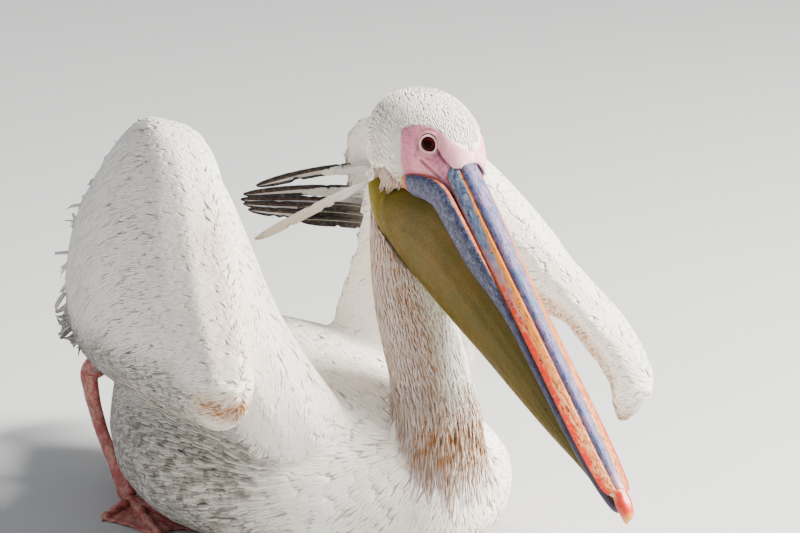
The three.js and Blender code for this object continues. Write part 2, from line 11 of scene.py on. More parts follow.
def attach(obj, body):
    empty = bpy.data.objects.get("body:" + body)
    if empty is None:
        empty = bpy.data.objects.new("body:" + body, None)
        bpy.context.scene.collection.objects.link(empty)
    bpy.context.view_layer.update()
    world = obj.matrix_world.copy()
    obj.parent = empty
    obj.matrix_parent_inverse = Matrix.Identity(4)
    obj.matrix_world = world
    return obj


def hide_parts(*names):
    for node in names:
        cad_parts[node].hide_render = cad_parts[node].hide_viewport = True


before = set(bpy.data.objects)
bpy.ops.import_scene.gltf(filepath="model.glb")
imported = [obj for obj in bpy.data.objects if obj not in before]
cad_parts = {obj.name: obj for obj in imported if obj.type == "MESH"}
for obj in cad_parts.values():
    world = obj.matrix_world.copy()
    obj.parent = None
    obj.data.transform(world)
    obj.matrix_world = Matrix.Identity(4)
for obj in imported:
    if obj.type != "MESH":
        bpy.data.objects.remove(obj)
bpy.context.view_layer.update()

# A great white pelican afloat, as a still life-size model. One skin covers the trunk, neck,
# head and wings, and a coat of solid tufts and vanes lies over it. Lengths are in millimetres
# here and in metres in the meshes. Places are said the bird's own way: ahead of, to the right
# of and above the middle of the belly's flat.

MM = 0.001
RIGHT, LEFT = 1, -1
SIDES = ((RIGHT, "right"), (LEFT, "left"))
random = np.random.default_rng(12)

# Camera: round to the bird's front right and a little above it, far off, looking at its neck.
CAMERA_AZIMUTH = math.radians(35)
CAMERA_RISE = math.radians(13)
CAMERA_DISTANCE = 6.5
CAMERA_LENS = 332.4
AIM_ASIDE, AIM_ABOVE = -39.6, 186.1      # of the neck's foot, across and up the picture
NECK_FOOT = (194, 0, 88)                 # where the neck leaves the water

HEAD_RIGHT = -34             # the middle of the head and bill
EYE = dict(ahead=154, aside=22, up=381.6, radius=9.5)
GAZE = math.radians(50)      # how far each eye looks aside of straight ahead
LID_OPENING = 6.9
BILL_DIP = math.radians(45.8)


# ---- places and curves

def at(ahead, right, up):
    """A place, or many, from millimetres said the bird's own way."""
    return np.stack(np.broadcast_arrays(-np.asarray(right, float), -np.asarray(ahead, float),
                                        np.asarray(up, float)), -1) * MM


def heading(ahead, right, up):
    """A direction said the bird's own way."""
    return unit(at(ahead, right, up))


def bird(places):
    """Millimetres ahead, right and up of places."""
    return -places[..., 1] / MM, -places[..., 0] / MM, places[..., 2] / MM


def unit(vectors):
    return vectors / np.maximum(np.linalg.norm(vectors, axis=-1, keepdims=True), 1e-12)


def ease(value, low, high):
    """0 below low, 1 above high and smooth between."""
    share = np.clip((value - low) / (high - low), 0, 1)
    return share * share * (3 - 2 * share)


def fade(value, low, high):
    return 1 - ease(value, low, high)


def bell(value, middle, width):
    return np.exp(-((value - middle) / width) ** 2)


def along(rows, t):
    """Rows of numbers read as a smooth curve, t from 0 at the first row to 1 at the last."""
    rows = np.asarray(rows, float)
    place = np.clip(np.asarray(t, float), 0, 1) * (len(rows) - 1)
    i = np.minimum(place.astype(int), len(rows) - 2)
    f = (place - i)[..., None]
    a, b = rows[i], rows[i + 1]
    leave = (b - rows[np.maximum(i - 1, 0)]) / 2
    arrive = (rows[np.minimum(i + 2, len(rows) - 1)] - a) / 2
    bend = (2 * f ** 3 - 3 * f ** 2 + 1) * a + (f ** 3 - 2 * f ** 2 + f) * leave
    return bend + (-2 * f ** 3 + 3 * f ** 2) * b + (f ** 3 - f ** 2) * arrive


def stations(rows, count, start=0):
    """Shares t from the start to 1, each with the rows' numbers there."""
    return [(t, along(rows, t)) for t in np.linspace(start, 1, count)]


def lead(rows, t, step):
    """The way that rows of ahead, aside, up and more lead at t, seen from the side."""
    ahead, _, up = (along(rows, min(t + step, 1)) - along(rows, max(t - step, 0)))[:3]
    return heading(ahead, 0, up)


def tangential(vectors, normals):
    return unit(vectors - (vectors * normals).sum(-1, keepdims=True) * normals)


ACROSS = at(0, 1000, 0)
UP = at(0, 0, 1000)
BILL_RUN = heading(math.cos(BILL_DIP), 0, -math.sin(BILL_DIP))
BILL_TOP = heading(math.sin(BILL_DIP), 0, math.cos(BILL_DIP))


# ---- meshes

def linked(name, data):
    """A new object in the scene."""
    made = bpy.data.objects.new(name, data)
    bpy.context.scene.collection.objects.link(made)
    return made


def settle(piece, material, replaced=()):
    """Paints a piece and lets it ride on the part's one body."""
    piece.data.materials.append(material)
    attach(piece, "root")
    if replaced:
        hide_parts(*replaced)


def add_shares(mesh, name, rows):
    """Three shares at each corner place, which a material reads by their name."""
    padded = np.ones((len(rows), 4), np.float32)
    padded[:, :3] = rows
    mesh.attributes.new(name, "FLOAT_COLOR", "POINT").data.foreach_set("color", padded.ravel())


def build(name, shape, material, replaced=(), uv=None, marks=None, smooth=True):
    """A piece from its shape: corner places, equal-sided faces and shares for its form map."""
    places, faces, form = shape
    faces = np.asarray(faces, np.int32)
    mesh = bpy.data.meshes.new(name)
    mesh.vertices.add(len(places))
    mesh.vertices.foreach_set("co", np.asarray(places, np.float32).ravel())
    mesh.loops.add(faces.size)
    mesh.loops.foreach_set("vertex_index", faces.ravel())
    mesh.polygons.add(len(faces))
    mesh.polygons.foreach_set("loop_start", np.arange(0, faces.size, faces.shape[1], dtype=np.int32))
    mesh.polygons.foreach_set("use_smooth", np.resize(smooth, len(faces)))
    for layer, values in (("OFBake", uv), ("form", form)):
        if values is not None:
            at_loops = np.asarray(values, np.float32)[faces.ravel()]
            mesh.uv_layers.new(name=layer).data.foreach_set("uv", at_loops.ravel())
    if marks is not None:
        add_shares(mesh, "marks", marks)
    mesh.update(calc_edges=True)
    mesh.validate()
    settle(linked(name, mesh), material, replaced)


def lofted(rings, shares=None, closed=False):
    """The shape of a body through rings, which has two caps or closes on itself. Its shares are
    those across and along it, unless others are given."""
    rings = np.asarray(rings)
    count, sides = rings.shape[:2]
    i, j = np.meshgrid(np.arange(count if closed else count - 1), np.arange(sides), indexing="ij")
    a, b = i * sides + j, i * sides + (j + 1) % sides
    total = count * sides
    quads = np.stack([a, b, (b + sides) % total, (a + sides) % total], -1).reshape(-1, 4)
    if not closed:
        last = np.array([[k - 1, k, sides - 1 - k, (sides - k) % sides] for k in range(1, sides // 2)])
        quads = np.concatenate([quads, last[:, ::-1], last + total - sides])
    if shares is None:
        shares = np.stack(np.meshgrid(np.arange(sides) / sides, np.linspace(0, 1, count)), -1)
    return rings.reshape(-1, 3), quads, np.reshape(shares, (-1, 2))


def joined(parts):
    """Several shapes as one."""
    starts = np.cumsum([0] + [len(places) for places, _, _ in parts])
    faces = [np.asarray(faces) + start for (_, faces, _), start in zip(parts, starts)]
    return (np.concatenate([part[0] for part in parts]), np.concatenate(faces),
            np.concatenate([part[2] for part in parts]))


def turns(sides):
    return 2 * math.pi * np.arange(sides) / sides


def egg(centre, across, upward, half, rise, drop, sides, fullness=1.0):
    """A ring: half as wide each way, rising and dropping by different amounts, in millimetres."""
    c, s = np.cos(turns(sides)), np.sin(turns(sides))
    x = np.sign(c) * np.abs(c) ** fullness * half * MM
    y = np.sign(s) * np.abs(s) ** fullness * np.where(s > 0, rise, drop) * MM
    return centre + x[:, None] * across + y[:, None] * upward


# ---- materials

def linear(colour):
    """A colour from the usual 0 to 255 steps, made linear."""
    share = np.array(colour) / 255
    return (*np.where(share <= 0.04045, share / 12.92, ((share + 0.055) / 1.055) ** 2.4), 1.0)


class Value:
    """A number, place or colour that a material works out."""

    def __init__(self, look, socket):
        self.look = look
        self.socket = socket

    def math(self, operation, other=0.0):
        return self.look.value("ShaderNodeMath", (0, self), (1, other), operation=operation)

    def __add__(self, other):
        return self.math("ADD", other)

    def __sub__(self, other):
        return self.math("SUBTRACT", other)

    def __mul__(self, other):
        return self.math("MULTIPLY", other)

    def __abs__(self):
        return self.math("ABSOLUTE")

    def step(self, low, high, bottom=0.0, top=1.0):
        """Bottom up to low and top from high on, smooth between."""
        return self.look.value("ShaderNodeMapRange", ("Value", self), ("From Min", low), ("From Max", high),
                               ("To Min", bottom), ("To Max", top), interpolation_type="SMOOTHSTEP")

    def band(self, middle, width):
        """1 at the middle, falling to 0 at the width on either side."""
        return abs(self - middle).step(0.0, width, 1.0, 0.0)


class Look:
    """A plain Principled material whose colour, roughness and relief come from small node chains."""

    def __init__(self, name, roughness, **fixed):
        self.material = bpy.data.materials.new(name)
        self.material.use_nodes = True
        self.tree = self.material.node_tree
        self.shader = self.tree.nodes["Principled BSDF"]
        for socket, value in dict(fixed, Roughness=roughness).items():
            self.shader.inputs[socket.replace("_", " ")].default_value = value
        self.places = self.value("ShaderNodeTexCoord", output="Object")

    def feed(self, socket, value):
        if isinstance(value, Value):
            self.tree.links.new(value.socket, socket)
        else:
            socket.default_value = value

    def node(self, kind, *inputs, **settings):
        made = self.tree.nodes.new(kind)
        for key, setting in settings.items():
            setattr(made, key, setting)
        for socket, value in inputs:
            self.feed(made.inputs[socket], value)
        return made

    def value(self, kind, *inputs, output=0, **settings):
        return Value(self, self.node(kind, *inputs, **settings).outputs[output])

    def split(self, kind, whole):
        made = self.node(f"ShaderNodeSeparate{kind}", (0, whole))
        return [Value(self, output) for output in made.outputs[:3]]

    def noise(self, size, detail=3, stretch=(1, 1, 1), roughness=0.6, places=None):
        """Noise from 0 to 1 whose spots are about so many millimetres across."""
        scaled = self.value("ShaderNodeMapping", ("Vector", places or self.places), ("Scale", stretch))
        return self.value("ShaderNodeTexNoise", ("Vector", scaled), ("Scale", 1 / (size * MM)),
                          ("Detail", detail), ("Roughness", roughness), output="Fac")

    def worn(self, size, least, most):
        """A roughness that wanders between two values."""
        return self.noise(size).step(0.3, 0.7, least, most)

    def spots(self, size):
        """Distance from scattered points, 0 at each point."""
        return self.value("ShaderNodeTexVoronoi", ("Vector", self.places), ("Scale", 1 / (size * MM)),
                          output="Distance")

    def form(self):
        """The across and along shares of a piece."""
        return self.split("XYZ", self.value("ShaderNodeUVMap", uv_map="form"))[:2]

    def grain(self, across, onward):
        return self.value("ShaderNodeCombineXYZ", (0, across), (1, onward))

    def attribute(self, name, output="Color"):
        return self.value("ShaderNodeAttribute", attribute_name=name, output=output)

    def layers(self, colour, *over):
        """A colour with others laid over it, each by its share."""
        for share, other in over:
            a, b = (c if isinstance(c, Value) else linear(c) for c in (colour, other))
            colour = self.value("ShaderNodeMix", (0, share), (6, a), (7, b), data_type="RGBA", output=2)
        return colour

    def done(self, colour, rough, *reliefs):
        """The material, with reliefs as (height, millimetres, strength)."""
        self.feed(self.shader.inputs["Base Color"], colour)
        if rough:
            self.feed(self.shader.inputs["Roughness"], rough)
        under = []
        for height, distance, strength in reliefs:
            relief = self.value("ShaderNodeBump", ("Height", height), ("Strength", strength),
                                ("Distance", distance * MM), *under)
            under = [("Normal", relief)]
            self.feed(self.shader.inputs["Normal"], relief)
        return self.material


WHITE = (252, 247, 239)
CREAM = (245, 236, 220)
# a lilac grey: painted shade on the near wing and the neck, and the random tone of single tufts
SHADED = (188, 184, 192)
TAN = (174, 122, 68)
RUST = (128, 76, 34)
# a wet, dirty grey, also painted shade under the near wing and on the low flank
WET_GREY_AND_SHADE = (98, 88, 76)
FACE_PINK = (220, 124, 144)
FACE_PALE = (244, 184, 193)
FACE_MAUVE = (168, 84, 120)
FACE_CREASE_SHADE = (88, 28, 50)


def plumage_colour(look):
    """White with cream and lilac clouds, tan stains and a wet grey, as the marks say. The lilac grey is
    partly painted shade on the near wing and the neck, and the wet grey partly painted shade under the near
    wing and on the low flank.
    """
    stain, wet_and_shade, tone_and_shade = look.split("Color", look.attribute("marks"))
    patchy = stain * look.noise(9).step(0.25, 0.6, 0.6, 1.0)
    return look.layers(
        WHITE,
        (look.noise(38).step(0.4, 0.66) * 0.5, CREAM),
        # painted shade and random tone, as the marks' third share says
        (tone_and_shade.step(0.3, 1.0, 0.0, 0.6), SHADED),
        (patchy, TAN),
        (patchy.step(0.62, 1.0, 0.0, 0.5), RUST),
        # wet grey, partly painted shade
        (wet_and_shade * look.noise(9).step(0.3, 0.65, 0.6, 0.9), WET_GREY_AND_SHADE))


def coat_look():
    look = Look("plumage_coat", 0.78, Sheen_Weight=0.12, Specular_IOR_Level=0.3)
    return look.done(plumage_colour(look), look.worn(7, 0.68, 0.9),
                     (look.noise(0.7, detail=2), 0.15, 0.5))


def skin_look():
    """Under the coat the plumage's colours, with their painted shade, and bare pink skin on the face, with
    painted shade in its creases.
    """
    look = Look("skin", 0.7, Specular_IOR_Level=0.35)
    bare = look.attribute("bare", "Fac")
    pale, mauve, dark = look.split("Color", look.attribute("face"))
    veins = look.noise(3.5, detail=5).step(0.42, 0.62)
    pink = look.layers(
        FACE_PINK,
        (look.noise(2.2, detail=4).step(0.35, 0.65, 0.0, 0.5), FACE_PALE),
        (pale, FACE_PALE),
        (mauve * veins.step(0, 1, 0.6, 1.0), FACE_MAUVE),
        # painted shade in the creases of the face
        (dark, FACE_CREASE_SHADE))
    return look.done(look.layers(plumage_colour(look), (bare, pink)), bare.step(0, 1, 0.85, 0.5),
                     (look.spots(1.1) * bare, 0.25, 0.6), (look.noise(1.4, detail=4), 0.3, 0.5))


# ---- the skin

REGIONS = dict(head=["head"], neck=["neck_upper", "neck_lower"], trunk=["trunk"],
               arm_right=["upper_arm_right"], arm_left=["upper_arm_left"],
               wing_right=["forearm_right", "hand_right"], wing_left=["forearm_left", "hand_left"])
FLESH = sum(REGIONS.values(), [])
# How deep the skin lies under the coat's outer surface.
COAT_DEPTH = dict(head=1.8, neck=1.5, trunk=2.0, arm_right=1.4, arm_left=1.4, wing_right=2.0, wing_left=1.3)
BARE_DEPTH = 0.4
VOXEL = 4.2                  # grid of the joined skin
SWELL = 0.9                  # closes the clearance between the solids before they are joined
FINE_LOWEST, FINE_ASIDE, FINE_AHEAD = 318, 50, (38, 215)     # the box of the head's finer faces
FINEST_REACH = 24            # of the finest faces round each eye
ORBIT_RADIUS = 16            # of the dish round each eye
ORBIT_BOTTOM = 5.3           # from the eye's middle to the dish's bottom


def node_mesh(names, swell=0.0):
    """The solids of some nodes as one bmesh, grown by so many millimetres."""
    gathered = bmesh.new()
    for name in names:
        gathered.from_mesh(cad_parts[name].data)
    bmesh.ops.remove_doubles(gathered, verts=gathered.verts, dist=0.02 * MM)
    gathered.normal_update()
    for vertex in gathered.verts:
        vertex.co += vertex.normal * swell * MM
    return gathered


def remeshed():
    """All the flesh as one closed, even mesh."""
    gathered = node_mesh(FLESH, SWELL)
    mesh = bpy.data.meshes.new("flesh")
    gathered.to_mesh(mesh)
    gathered.free()
    flesh = linked("flesh", mesh)
    remesh = flesh.modifiers.new("join", "REMESH")
    remesh.mode = "VOXEL"
    remesh.voxel_size = VOXEL * MM
    soften = flesh.modifiers.new("soften", "SMOOTH")
    soften.factor, soften.iterations = 0.5, 7
    graph = bpy.context.evaluated_depsgraph_get()
    smooth = bpy.data.meshes.new_from_object(flesh.evaluated_get(graph))
    bpy.data.objects.remove(flesh)
    return smooth


def eye_centre(side):
    return at(EYE["ahead"], HEAD_RIGHT + side * EYE["aside"], EYE["up"])


def refine(mesh):
    """Finer faces on the head, and finer still round the eyes."""
    shape = bmesh.new()
    shape.from_mesh(mesh)
    eyes = [Vector(eye_centre(side)) for side, _ in SIDES]
    back, front = FINE_AHEAD

    def on_head(place):
        aside = abs(-place.x / MM - HEAD_RIGHT)
        return place.z > FINE_LOWEST * MM and aside < FINE_ASIDE and back < -place.y / MM < front

    for near in (on_head, lambda place: min((place - eye).length for eye in eyes) < FINEST_REACH * MM):
        edges = [e for e in shape.edges if near((e.verts[0].co + e.verts[1].co) / 2)]
        bmesh.ops.subdivide_edges(shape, edges=edges, cuts=1, use_grid_fill=True, smooth=0.6)
    bmesh.ops.triangulate(shape, faces=[f for f in shape.faces if len(f.verts) > 4])
    shape.to_mesh(mesh)
    shape.free()


# The bare patch of the face seen from the side: ahead and up of its corners.
FACE_PATCH = [(128, 392), (141, 397), (154, 398), (167, 395), (177, 389), (185, 382), (193, 373), (214, 352),
              (206, 326), (186, 330), (171, 334), (150, 334), (126, 334), (125, 346), (127, 358), (128, 375)]


def patch_inside(ahead, up):
    """Millimetres inside the bare patch's edge, less than 0 outside it."""
    corners = np.array(FACE_PATCH, float)
    p = np.stack([ahead, up], -1)
    nearest = np.full(len(p), 1e9)
    inside = np.zeros(len(p), bool)
    for a, b in zip(corners, np.roll(corners, -1, 0)):
        run = b - a
        share = np.clip(((p - a) @ run) / (run @ run), 0, 1)
        nearest = np.minimum(nearest, np.linalg.norm(p - a - share[:, None] * run, axis=1))
        crosses = (a[1] > p[:, 1]) != (b[1] > p[:, 1])
        where = a[0] + (p[:, 1] - a[1]) / (b[1] - a[1] if b[1] != a[1] else 1e-9) * run[0]
        inside ^= crosses & (p[:, 0] < where)
    return np.where(inside, nearest, -nearest)


def face_bareness(places, on_face=True):
    """Millimetres inside the bare face: the patch less the forehead's peak."""
    ahead, right, up = bird(places)
    aside = np.abs(right - HEAD_RIGHT)
    peak = 15 - 14 * ease(ahead, 158, 187)
    inside = np.minimum(patch_inside(ahead, up), np.where(up > 350, aside - peak, 30))
    return np.where(on_face, inside, -30.0)


def about_eye(places):
    """Millimetres forward of, over and out along the gaze from the middle of the nearer eye."""
    ahead, right, up = bird(places)
    a = ahead - EYE["ahead"]
    r = np.abs(right - HEAD_RIGHT) - EYE["aside"]
    return a * math.sin(GAZE) - r * math.cos(GAZE), up - EYE["up"], a * math.cos(GAZE) + r * math.sin(GAZE)


# Creases of the bare face, each from one point to another, forward of and over the eye, and
# how much painted shade each carries.
FACE_CREASES = {(8, -5, 22, -19): 0.95, (-7, -16, 11, -29): 0.8, (-10, -3, -13, -12): 0.4}
MIDDLE = (4, 10)             # millimetres aside of the head's middle within which the creases fade


def stroke(x, y, line, width):
    """1 on a line between two points, falling to 0 beside it."""
    x1, y1, x2, y2 = line
    run = np.array([x2 - x1, y2 - y1], float)
    share = np.clip(((x - x1) * run[0] + (y - y1) * run[1]) / (run @ run), 0, 1)
    return bell(np.hypot(x - x1 - share * run[0], y - y1 - share * run[1]), 0, width)


def face_marks(places):
    """Pale, mauve and dark shares of the bare skin, told from the eye. The dark share is painted shade: in
    the creases, round the eye and under the feathers along the top of the bare patch.
    """
    ahead, right, up = bird(places)
    x, y, _ = about_eye(places)
    out = np.hypot(x, y)
    pale = bell(out, 9.4, 1.5) + 0.55 * ease(x + 0.35 * y, 8, 20) + 0.45 * fade(y - 0.5 * x, -28, -22)
    mauve = 0.75 * fade(x, -20, -11) + 1.0 * stroke(x, y, (6, -13, 19, -26), 7.5)
    # the ring 12.5 mm out darkens the groove round the eye: painted shade
    mauve = mauve * (1 - 0.8 * bell(out, 9.4, 2.0)) + 0.4 * bell(out, 12.5, 1.6) * fade(x, -2, 6)
    # painted shade in the creases, round the eye and along the top of the bare patch
    dark = sum(share * stroke(x, y, line, 1.5) for line, share in FACE_CREASES.items())
    dark = dark + 0.5 * bell(out, 11.2, 0.8) * fade(x, -4, 4) * fade(y, 2, 9)
    dark = dark + 0.55 * bell(patch_inside(ahead, up), 0.6, 0.9) * ease(up, 383, 392)
    dark = dark * ease(np.abs(right - HEAD_RIGHT), *MIDDLE)
    return np.clip(np.stack([pale, mauve, dark], -1), 0, 1)


class Skin:
    """The joined skin: its arrays, its regions and a tree to drop points on it."""

    def __init__(self):
        self.mesh = remeshed()
        refine(self.mesh)
        self.places = self.read(self.mesh.vertices, "co")
        self.normals = self.read(self.mesh.vertices, "normal")
        self.regions = self.nearest_regions()
        self.bare = face_bareness(self.places, np.isin(self.regions, ["head", "neck"]))
        self.shape_face()
        depth = np.array([COAT_DEPTH[r] for r in self.regions])
        bare = ease(self.bare, -1.5, 1.0)
        depth = depth * (1 - bare) + BARE_DEPTH * bare
        edges = self.read(self.mesh.edges, "vertices", 2, int)
        for _ in range(6):
            depth = averaged(depth, edges)
        self.places = self.places - self.normals * ((depth + SWELL) * MM)[:, None]
        self.mesh.vertices.foreach_set("co", self.places.ravel())
        self.mesh.update()
        self.normals = self.read(self.mesh.vertices, "normal")
        self.mesh.calc_loop_triangles()
        self.triangles = self.read(self.mesh.loop_triangles, "vertices", 3, int)
        self.tree = BVHTree.FromPolygons(self.places.tolist(), self.triangles.tolist())

    @staticmethod
    def read(items, key, width=3, kind=float):
        values = np.empty(len(items) * width, np.int32 if kind is int else np.float32)
        items.foreach_get(key, values)
        return values.reshape(-1, width).astype(kind)

    def nearest_regions(self):
        distances = []
        for names in REGIONS.values():
            solid = node_mesh(names)
            tree = BVHTree.FromBMesh(solid)
            distances.append([tree.find_nearest(p)[3] for p in self.places.tolist()])
            solid.free()
        return np.array(list(REGIONS))[np.argmin(distances, 0)]

    def shape_face(self):
        """Dishes the eye sockets, and raises and creases the skin round them."""
        _, right, _ = bird(self.places)
        x, y, facing = about_eye(self.places)
        out = np.hypot(x, y)
        near = (facing > -4) & (facing < 30) & (out < 46)
        dish = ORBIT_RADIUS + ORBIT_BOTTOM - np.sqrt(np.maximum(ORBIT_RADIUS ** 2 - out ** 2, 0))
        dish = dish - 4 * fade(out, 4.6, 6.4)
        sink = np.where(near & (out < ORBIT_RADIUS - 0.5), np.minimum(dish - facing, 0), 0.0)
        side = np.sign(right - HEAD_RIGHT)
        axis = at(math.cos(GAZE), side * math.sin(GAZE), 0 * side)
        self.places = self.places + axis * sink[:, None]
        folds = 0.7 * bell(out, 10.4, 1.3) - 0.7 * bell(out, 12.6, 1.1) * fade(x, 0, 8)
        folds = folds - 1.3 * sum(stroke(x, y, line, 2.0) for line in FACE_CREASES)
        move = np.where(near, folds, 0.0) * ease(self.bare, -1, 3) * ease(np.abs(right - HEAD_RIGHT), *MIDDLE)
        self.places = self.places + self.normals * (move * MM)[:, None]

    def finish(self):
        """Makes the piece: the skin with its marks and its bare face."""
        add_shares(self.mesh, "marks", plumage_marks(self.places, self.regions))
        bare = self.mesh.attributes.new("bare", "FLOAT", "POINT")
        bare.data.foreach_set("value", ease(self.bare, -0.4, 0.8).astype(np.float32))
        add_shares(self.mesh, "face", face_marks(self.places))
        self.mesh.polygons.foreach_set("use_smooth", np.ones(len(self.mesh.polygons), bool))
        self.mesh.name = "skin"
        settle(linked("skin", self.mesh), skin_look(), FLESH)

    def drop(self, places):
        """The nearest places on the skin and its normals there."""
        hits = [self.tree.find_nearest(p) for p in places.tolist()]
        landed = np.array([h[0] for h in hits])
        normals = self.normals[self.triangles[[h[2] for h in hits]]].mean(1)
        return landed, unit(normals)


def averaged(values, edges):
    """Each vertex's value taken halfway to the mean of its neighbours'."""
    total = np.zeros(len(values))
    number = np.zeros(len(values))
    for a, b in ((0, 1), (1, 0)):
        np.add.at(total, edges[:, a], values[edges[:, b]])
        np.add.at(number, edges[:, a], 1)
    return 0.5 * values + 0.5 * total / np.maximum(number, 1)


# ---- wing frames

# Both wings are said as the right one. These are the left one's shifts: each grows outward
# from the shoulder and with the height.
SHOULDER_OUT, SHOULDER_UP = 92, 141
LEFT_LEAD = (17, 0.4, -0.29)
LEFT_TUCK = (4, 0.02, 0.04)
LEFT_DROP = (16, 0.1, 0.06)

# Forearm slices, elbow to wrist: height, nose ahead and out, tail ahead and out. Below its
# flight feathers the left one narrows to a strut.
ELBOW = [(388, -12, 147, -62, 140), (380, 24, 152, -96, 138), (360, 56, 159, -124, 140),
         (334, 80, 167, -146, 146), (304, 102, 175, -162, 153)]
FOREARM = {
    RIGHT: ELBOW + [(276, 122, 182, -170, 158), (246, 146, 190, -172, 161), (218, 168, 197, -164, 166),
                    (192, 180, 202, -146, 172), (172, 174, 200, -110, 180), (156, 160, 198, -50, 186),
                    (146, 138, 196, 40, 192)],
    LEFT: ELBOW + [(276, 122, 184, -150, 160), (246, 146, 194, 76, 186), (218, 168, 200, 110, 192),
                   (192, 178, 204, 126, 198), (172, 176, 201, 128, 197), (155, 162, 198, 130, 196),
                   (139, 150, 194, 138, 192)],
}
UPPER_ARM = [(372, -2, 140, -40, 130), (352, 32, 144, -60, 120), (322, 62, 148, -76, 110),
             (286, 90, 150, -74, 100), (248, 112, 148, -86, 92), (212, 132, 142, -104, 84),
             (176, 148, 130, -112, 76), (142, 156, 112, -84, 70), (112, 148, 96, -40, 64)]


def shift_matrix():
    """Left wing place = matrix @ (ahead, out, up) + offset, in millimetres."""
    matrix = np.eye(3)
    offset = np.zeros(3)
    for row, sign, (here, outward, upward) in ((0, 1, LEFT_LEAD), (1, -1, LEFT_TUCK), (2, -1, LEFT_DROP)):
        matrix[row, 1] += sign * outward
        matrix[row, 2] += sign * upward
        offset[row] += sign * (here - outward * SHOULDER_OUT - upward * SHOULDER_UP)
    return matrix, offset


LEFT_MATRIX, LEFT_OFFSET = shift_matrix()


def to_wing(side, places):
    """Ahead, out and up of places in the right wing's frame."""
    ahead, right, up = bird(places)
    if side == RIGHT:
        return np.stack([ahead, right, up], -1)
    return (np.stack([ahead, -right, up], -1) - LEFT_OFFSET) @ np.linalg.inv(LEFT_MATRIX).T


def wing_place(side, own):
    """A place from ahead, out and up in the right wing's frame."""
    own = np.asarray(own, float)
    if side == RIGHT:
        return at(own[..., 0], own[..., 1], own[..., 2])
    moved = own @ LEFT_MATRIX.T + LEFT_OFFSET
    return at(moved[..., 0], -moved[..., 1], moved[..., 2])


def wing_heading(side, own):
    """A direction from ahead, out and up in the right wing's frame."""
    own = np.asarray(own, float)
    if side == LEFT:
        own = own @ LEFT_MATRIX.T
    return heading(own[..., 0], side * own[..., 1], own[..., 2])


def chord_share(rows, own):
    """Share of the way from a slice's nose to its tail, and the run of the slice."""
    table = np.array(rows[::-1], float)
    nose_a, nose_o, tail_a, tail_o = (np.interp(own[:, 2], table[:, 0], table[:, k]) for k in range(1, 5))
    share = np.clip((nose_a - own[:, 0]) / (nose_a - tail_a), 0, 1)
    run = np.stack([tail_a - nose_a, tail_o - nose_o, np.zeros(len(own))], -1)
    return share, run / np.linalg.norm(run, axis=1, keepdims=True)


# ---- the lie of the coat

NECK = [(164, 0, 50), (186, 0, 88), (183, -4, 130), (158, -12, 162), (133, -18, 195), (108, -22, 232),
        (94, -25, 271), (88, -30, 315), (97, -33, 352), (112, -34, 380)]
NECK_POINTS = 80
NECK_LINE = along(NECK, np.linspace(0, 1, NECK_POINTS))
NECK_PLACES = at(NECK_LINE[:, 0], NECK_LINE[:, 1], NECK_LINE[:, 2])


def neck_share(places):
    """Index of the nearest point of the neck's middle line, low at the breast."""
    return np.argmin(np.linalg.norm(places[:, None] - NECK_PLACES[None], axis=2), 1)


def neck_lie(places):
    i = neck_share(places)
    return unit(NECK_PLACES[np.maximum(i - 1, 0)] - NECK_PLACES[np.minimum(i + 1, NECK_POINTS - 1)])


def head_lie(places):
    ahead, _, up = bird(places)
    back = fade(ahead, 62, 96)
    low = fade(up, 330, 352)
    turn = np.clip(np.maximum(back * fade(up, 385, 410), low), 0, 1)[:, None]
    return unit(-BILL_RUN * (1 - turn) + neck_lie(places) * turn)


def trunk_lie(places):
    ahead, _, _ = bird(places)
    rear = heading(-1, -0.08, -0.1)
    fan = unit(places - at(200, 0, 150))
    breast = ease(ahead, 90, 190)[:, None]
    return unit(rear * (1 - breast) + (fan + rear * 0.3) * breast)


def wing_lie(side, places):
    own = to_wing(side, places)
    share, run = chord_share(FOREARM[side], own)
    fall = 0.2 + 0.75 * share ** 1.5
    fall = fall * ease(own[:, 2], 150, 215) * (1 - 0.5 * ease(own[:, 2], 350, 390))
    return wing_heading(side, run - np.array([0, 0, 1.0]) * fall[:, None])


def arm_lie(side, places):
    own = to_wing(side, places)
    share, run = chord_share(UPPER_ARM, own)
    fall = 1.1 - 0.6 * share
    return wing_heading(side, run * (0.35 + share)[:, None] - np.array([0, 0, 1.0]) * fall[:, None])


LIES = dict(head=head_lie, neck=neck_lie, trunk=trunk_lie)
for side, name in SIDES:
    LIES[f"arm_{name}"] = partial(arm_lie, side)
    LIES[f"wing_{name}"] = partial(wing_lie, side)


# ---- marks and unwraps

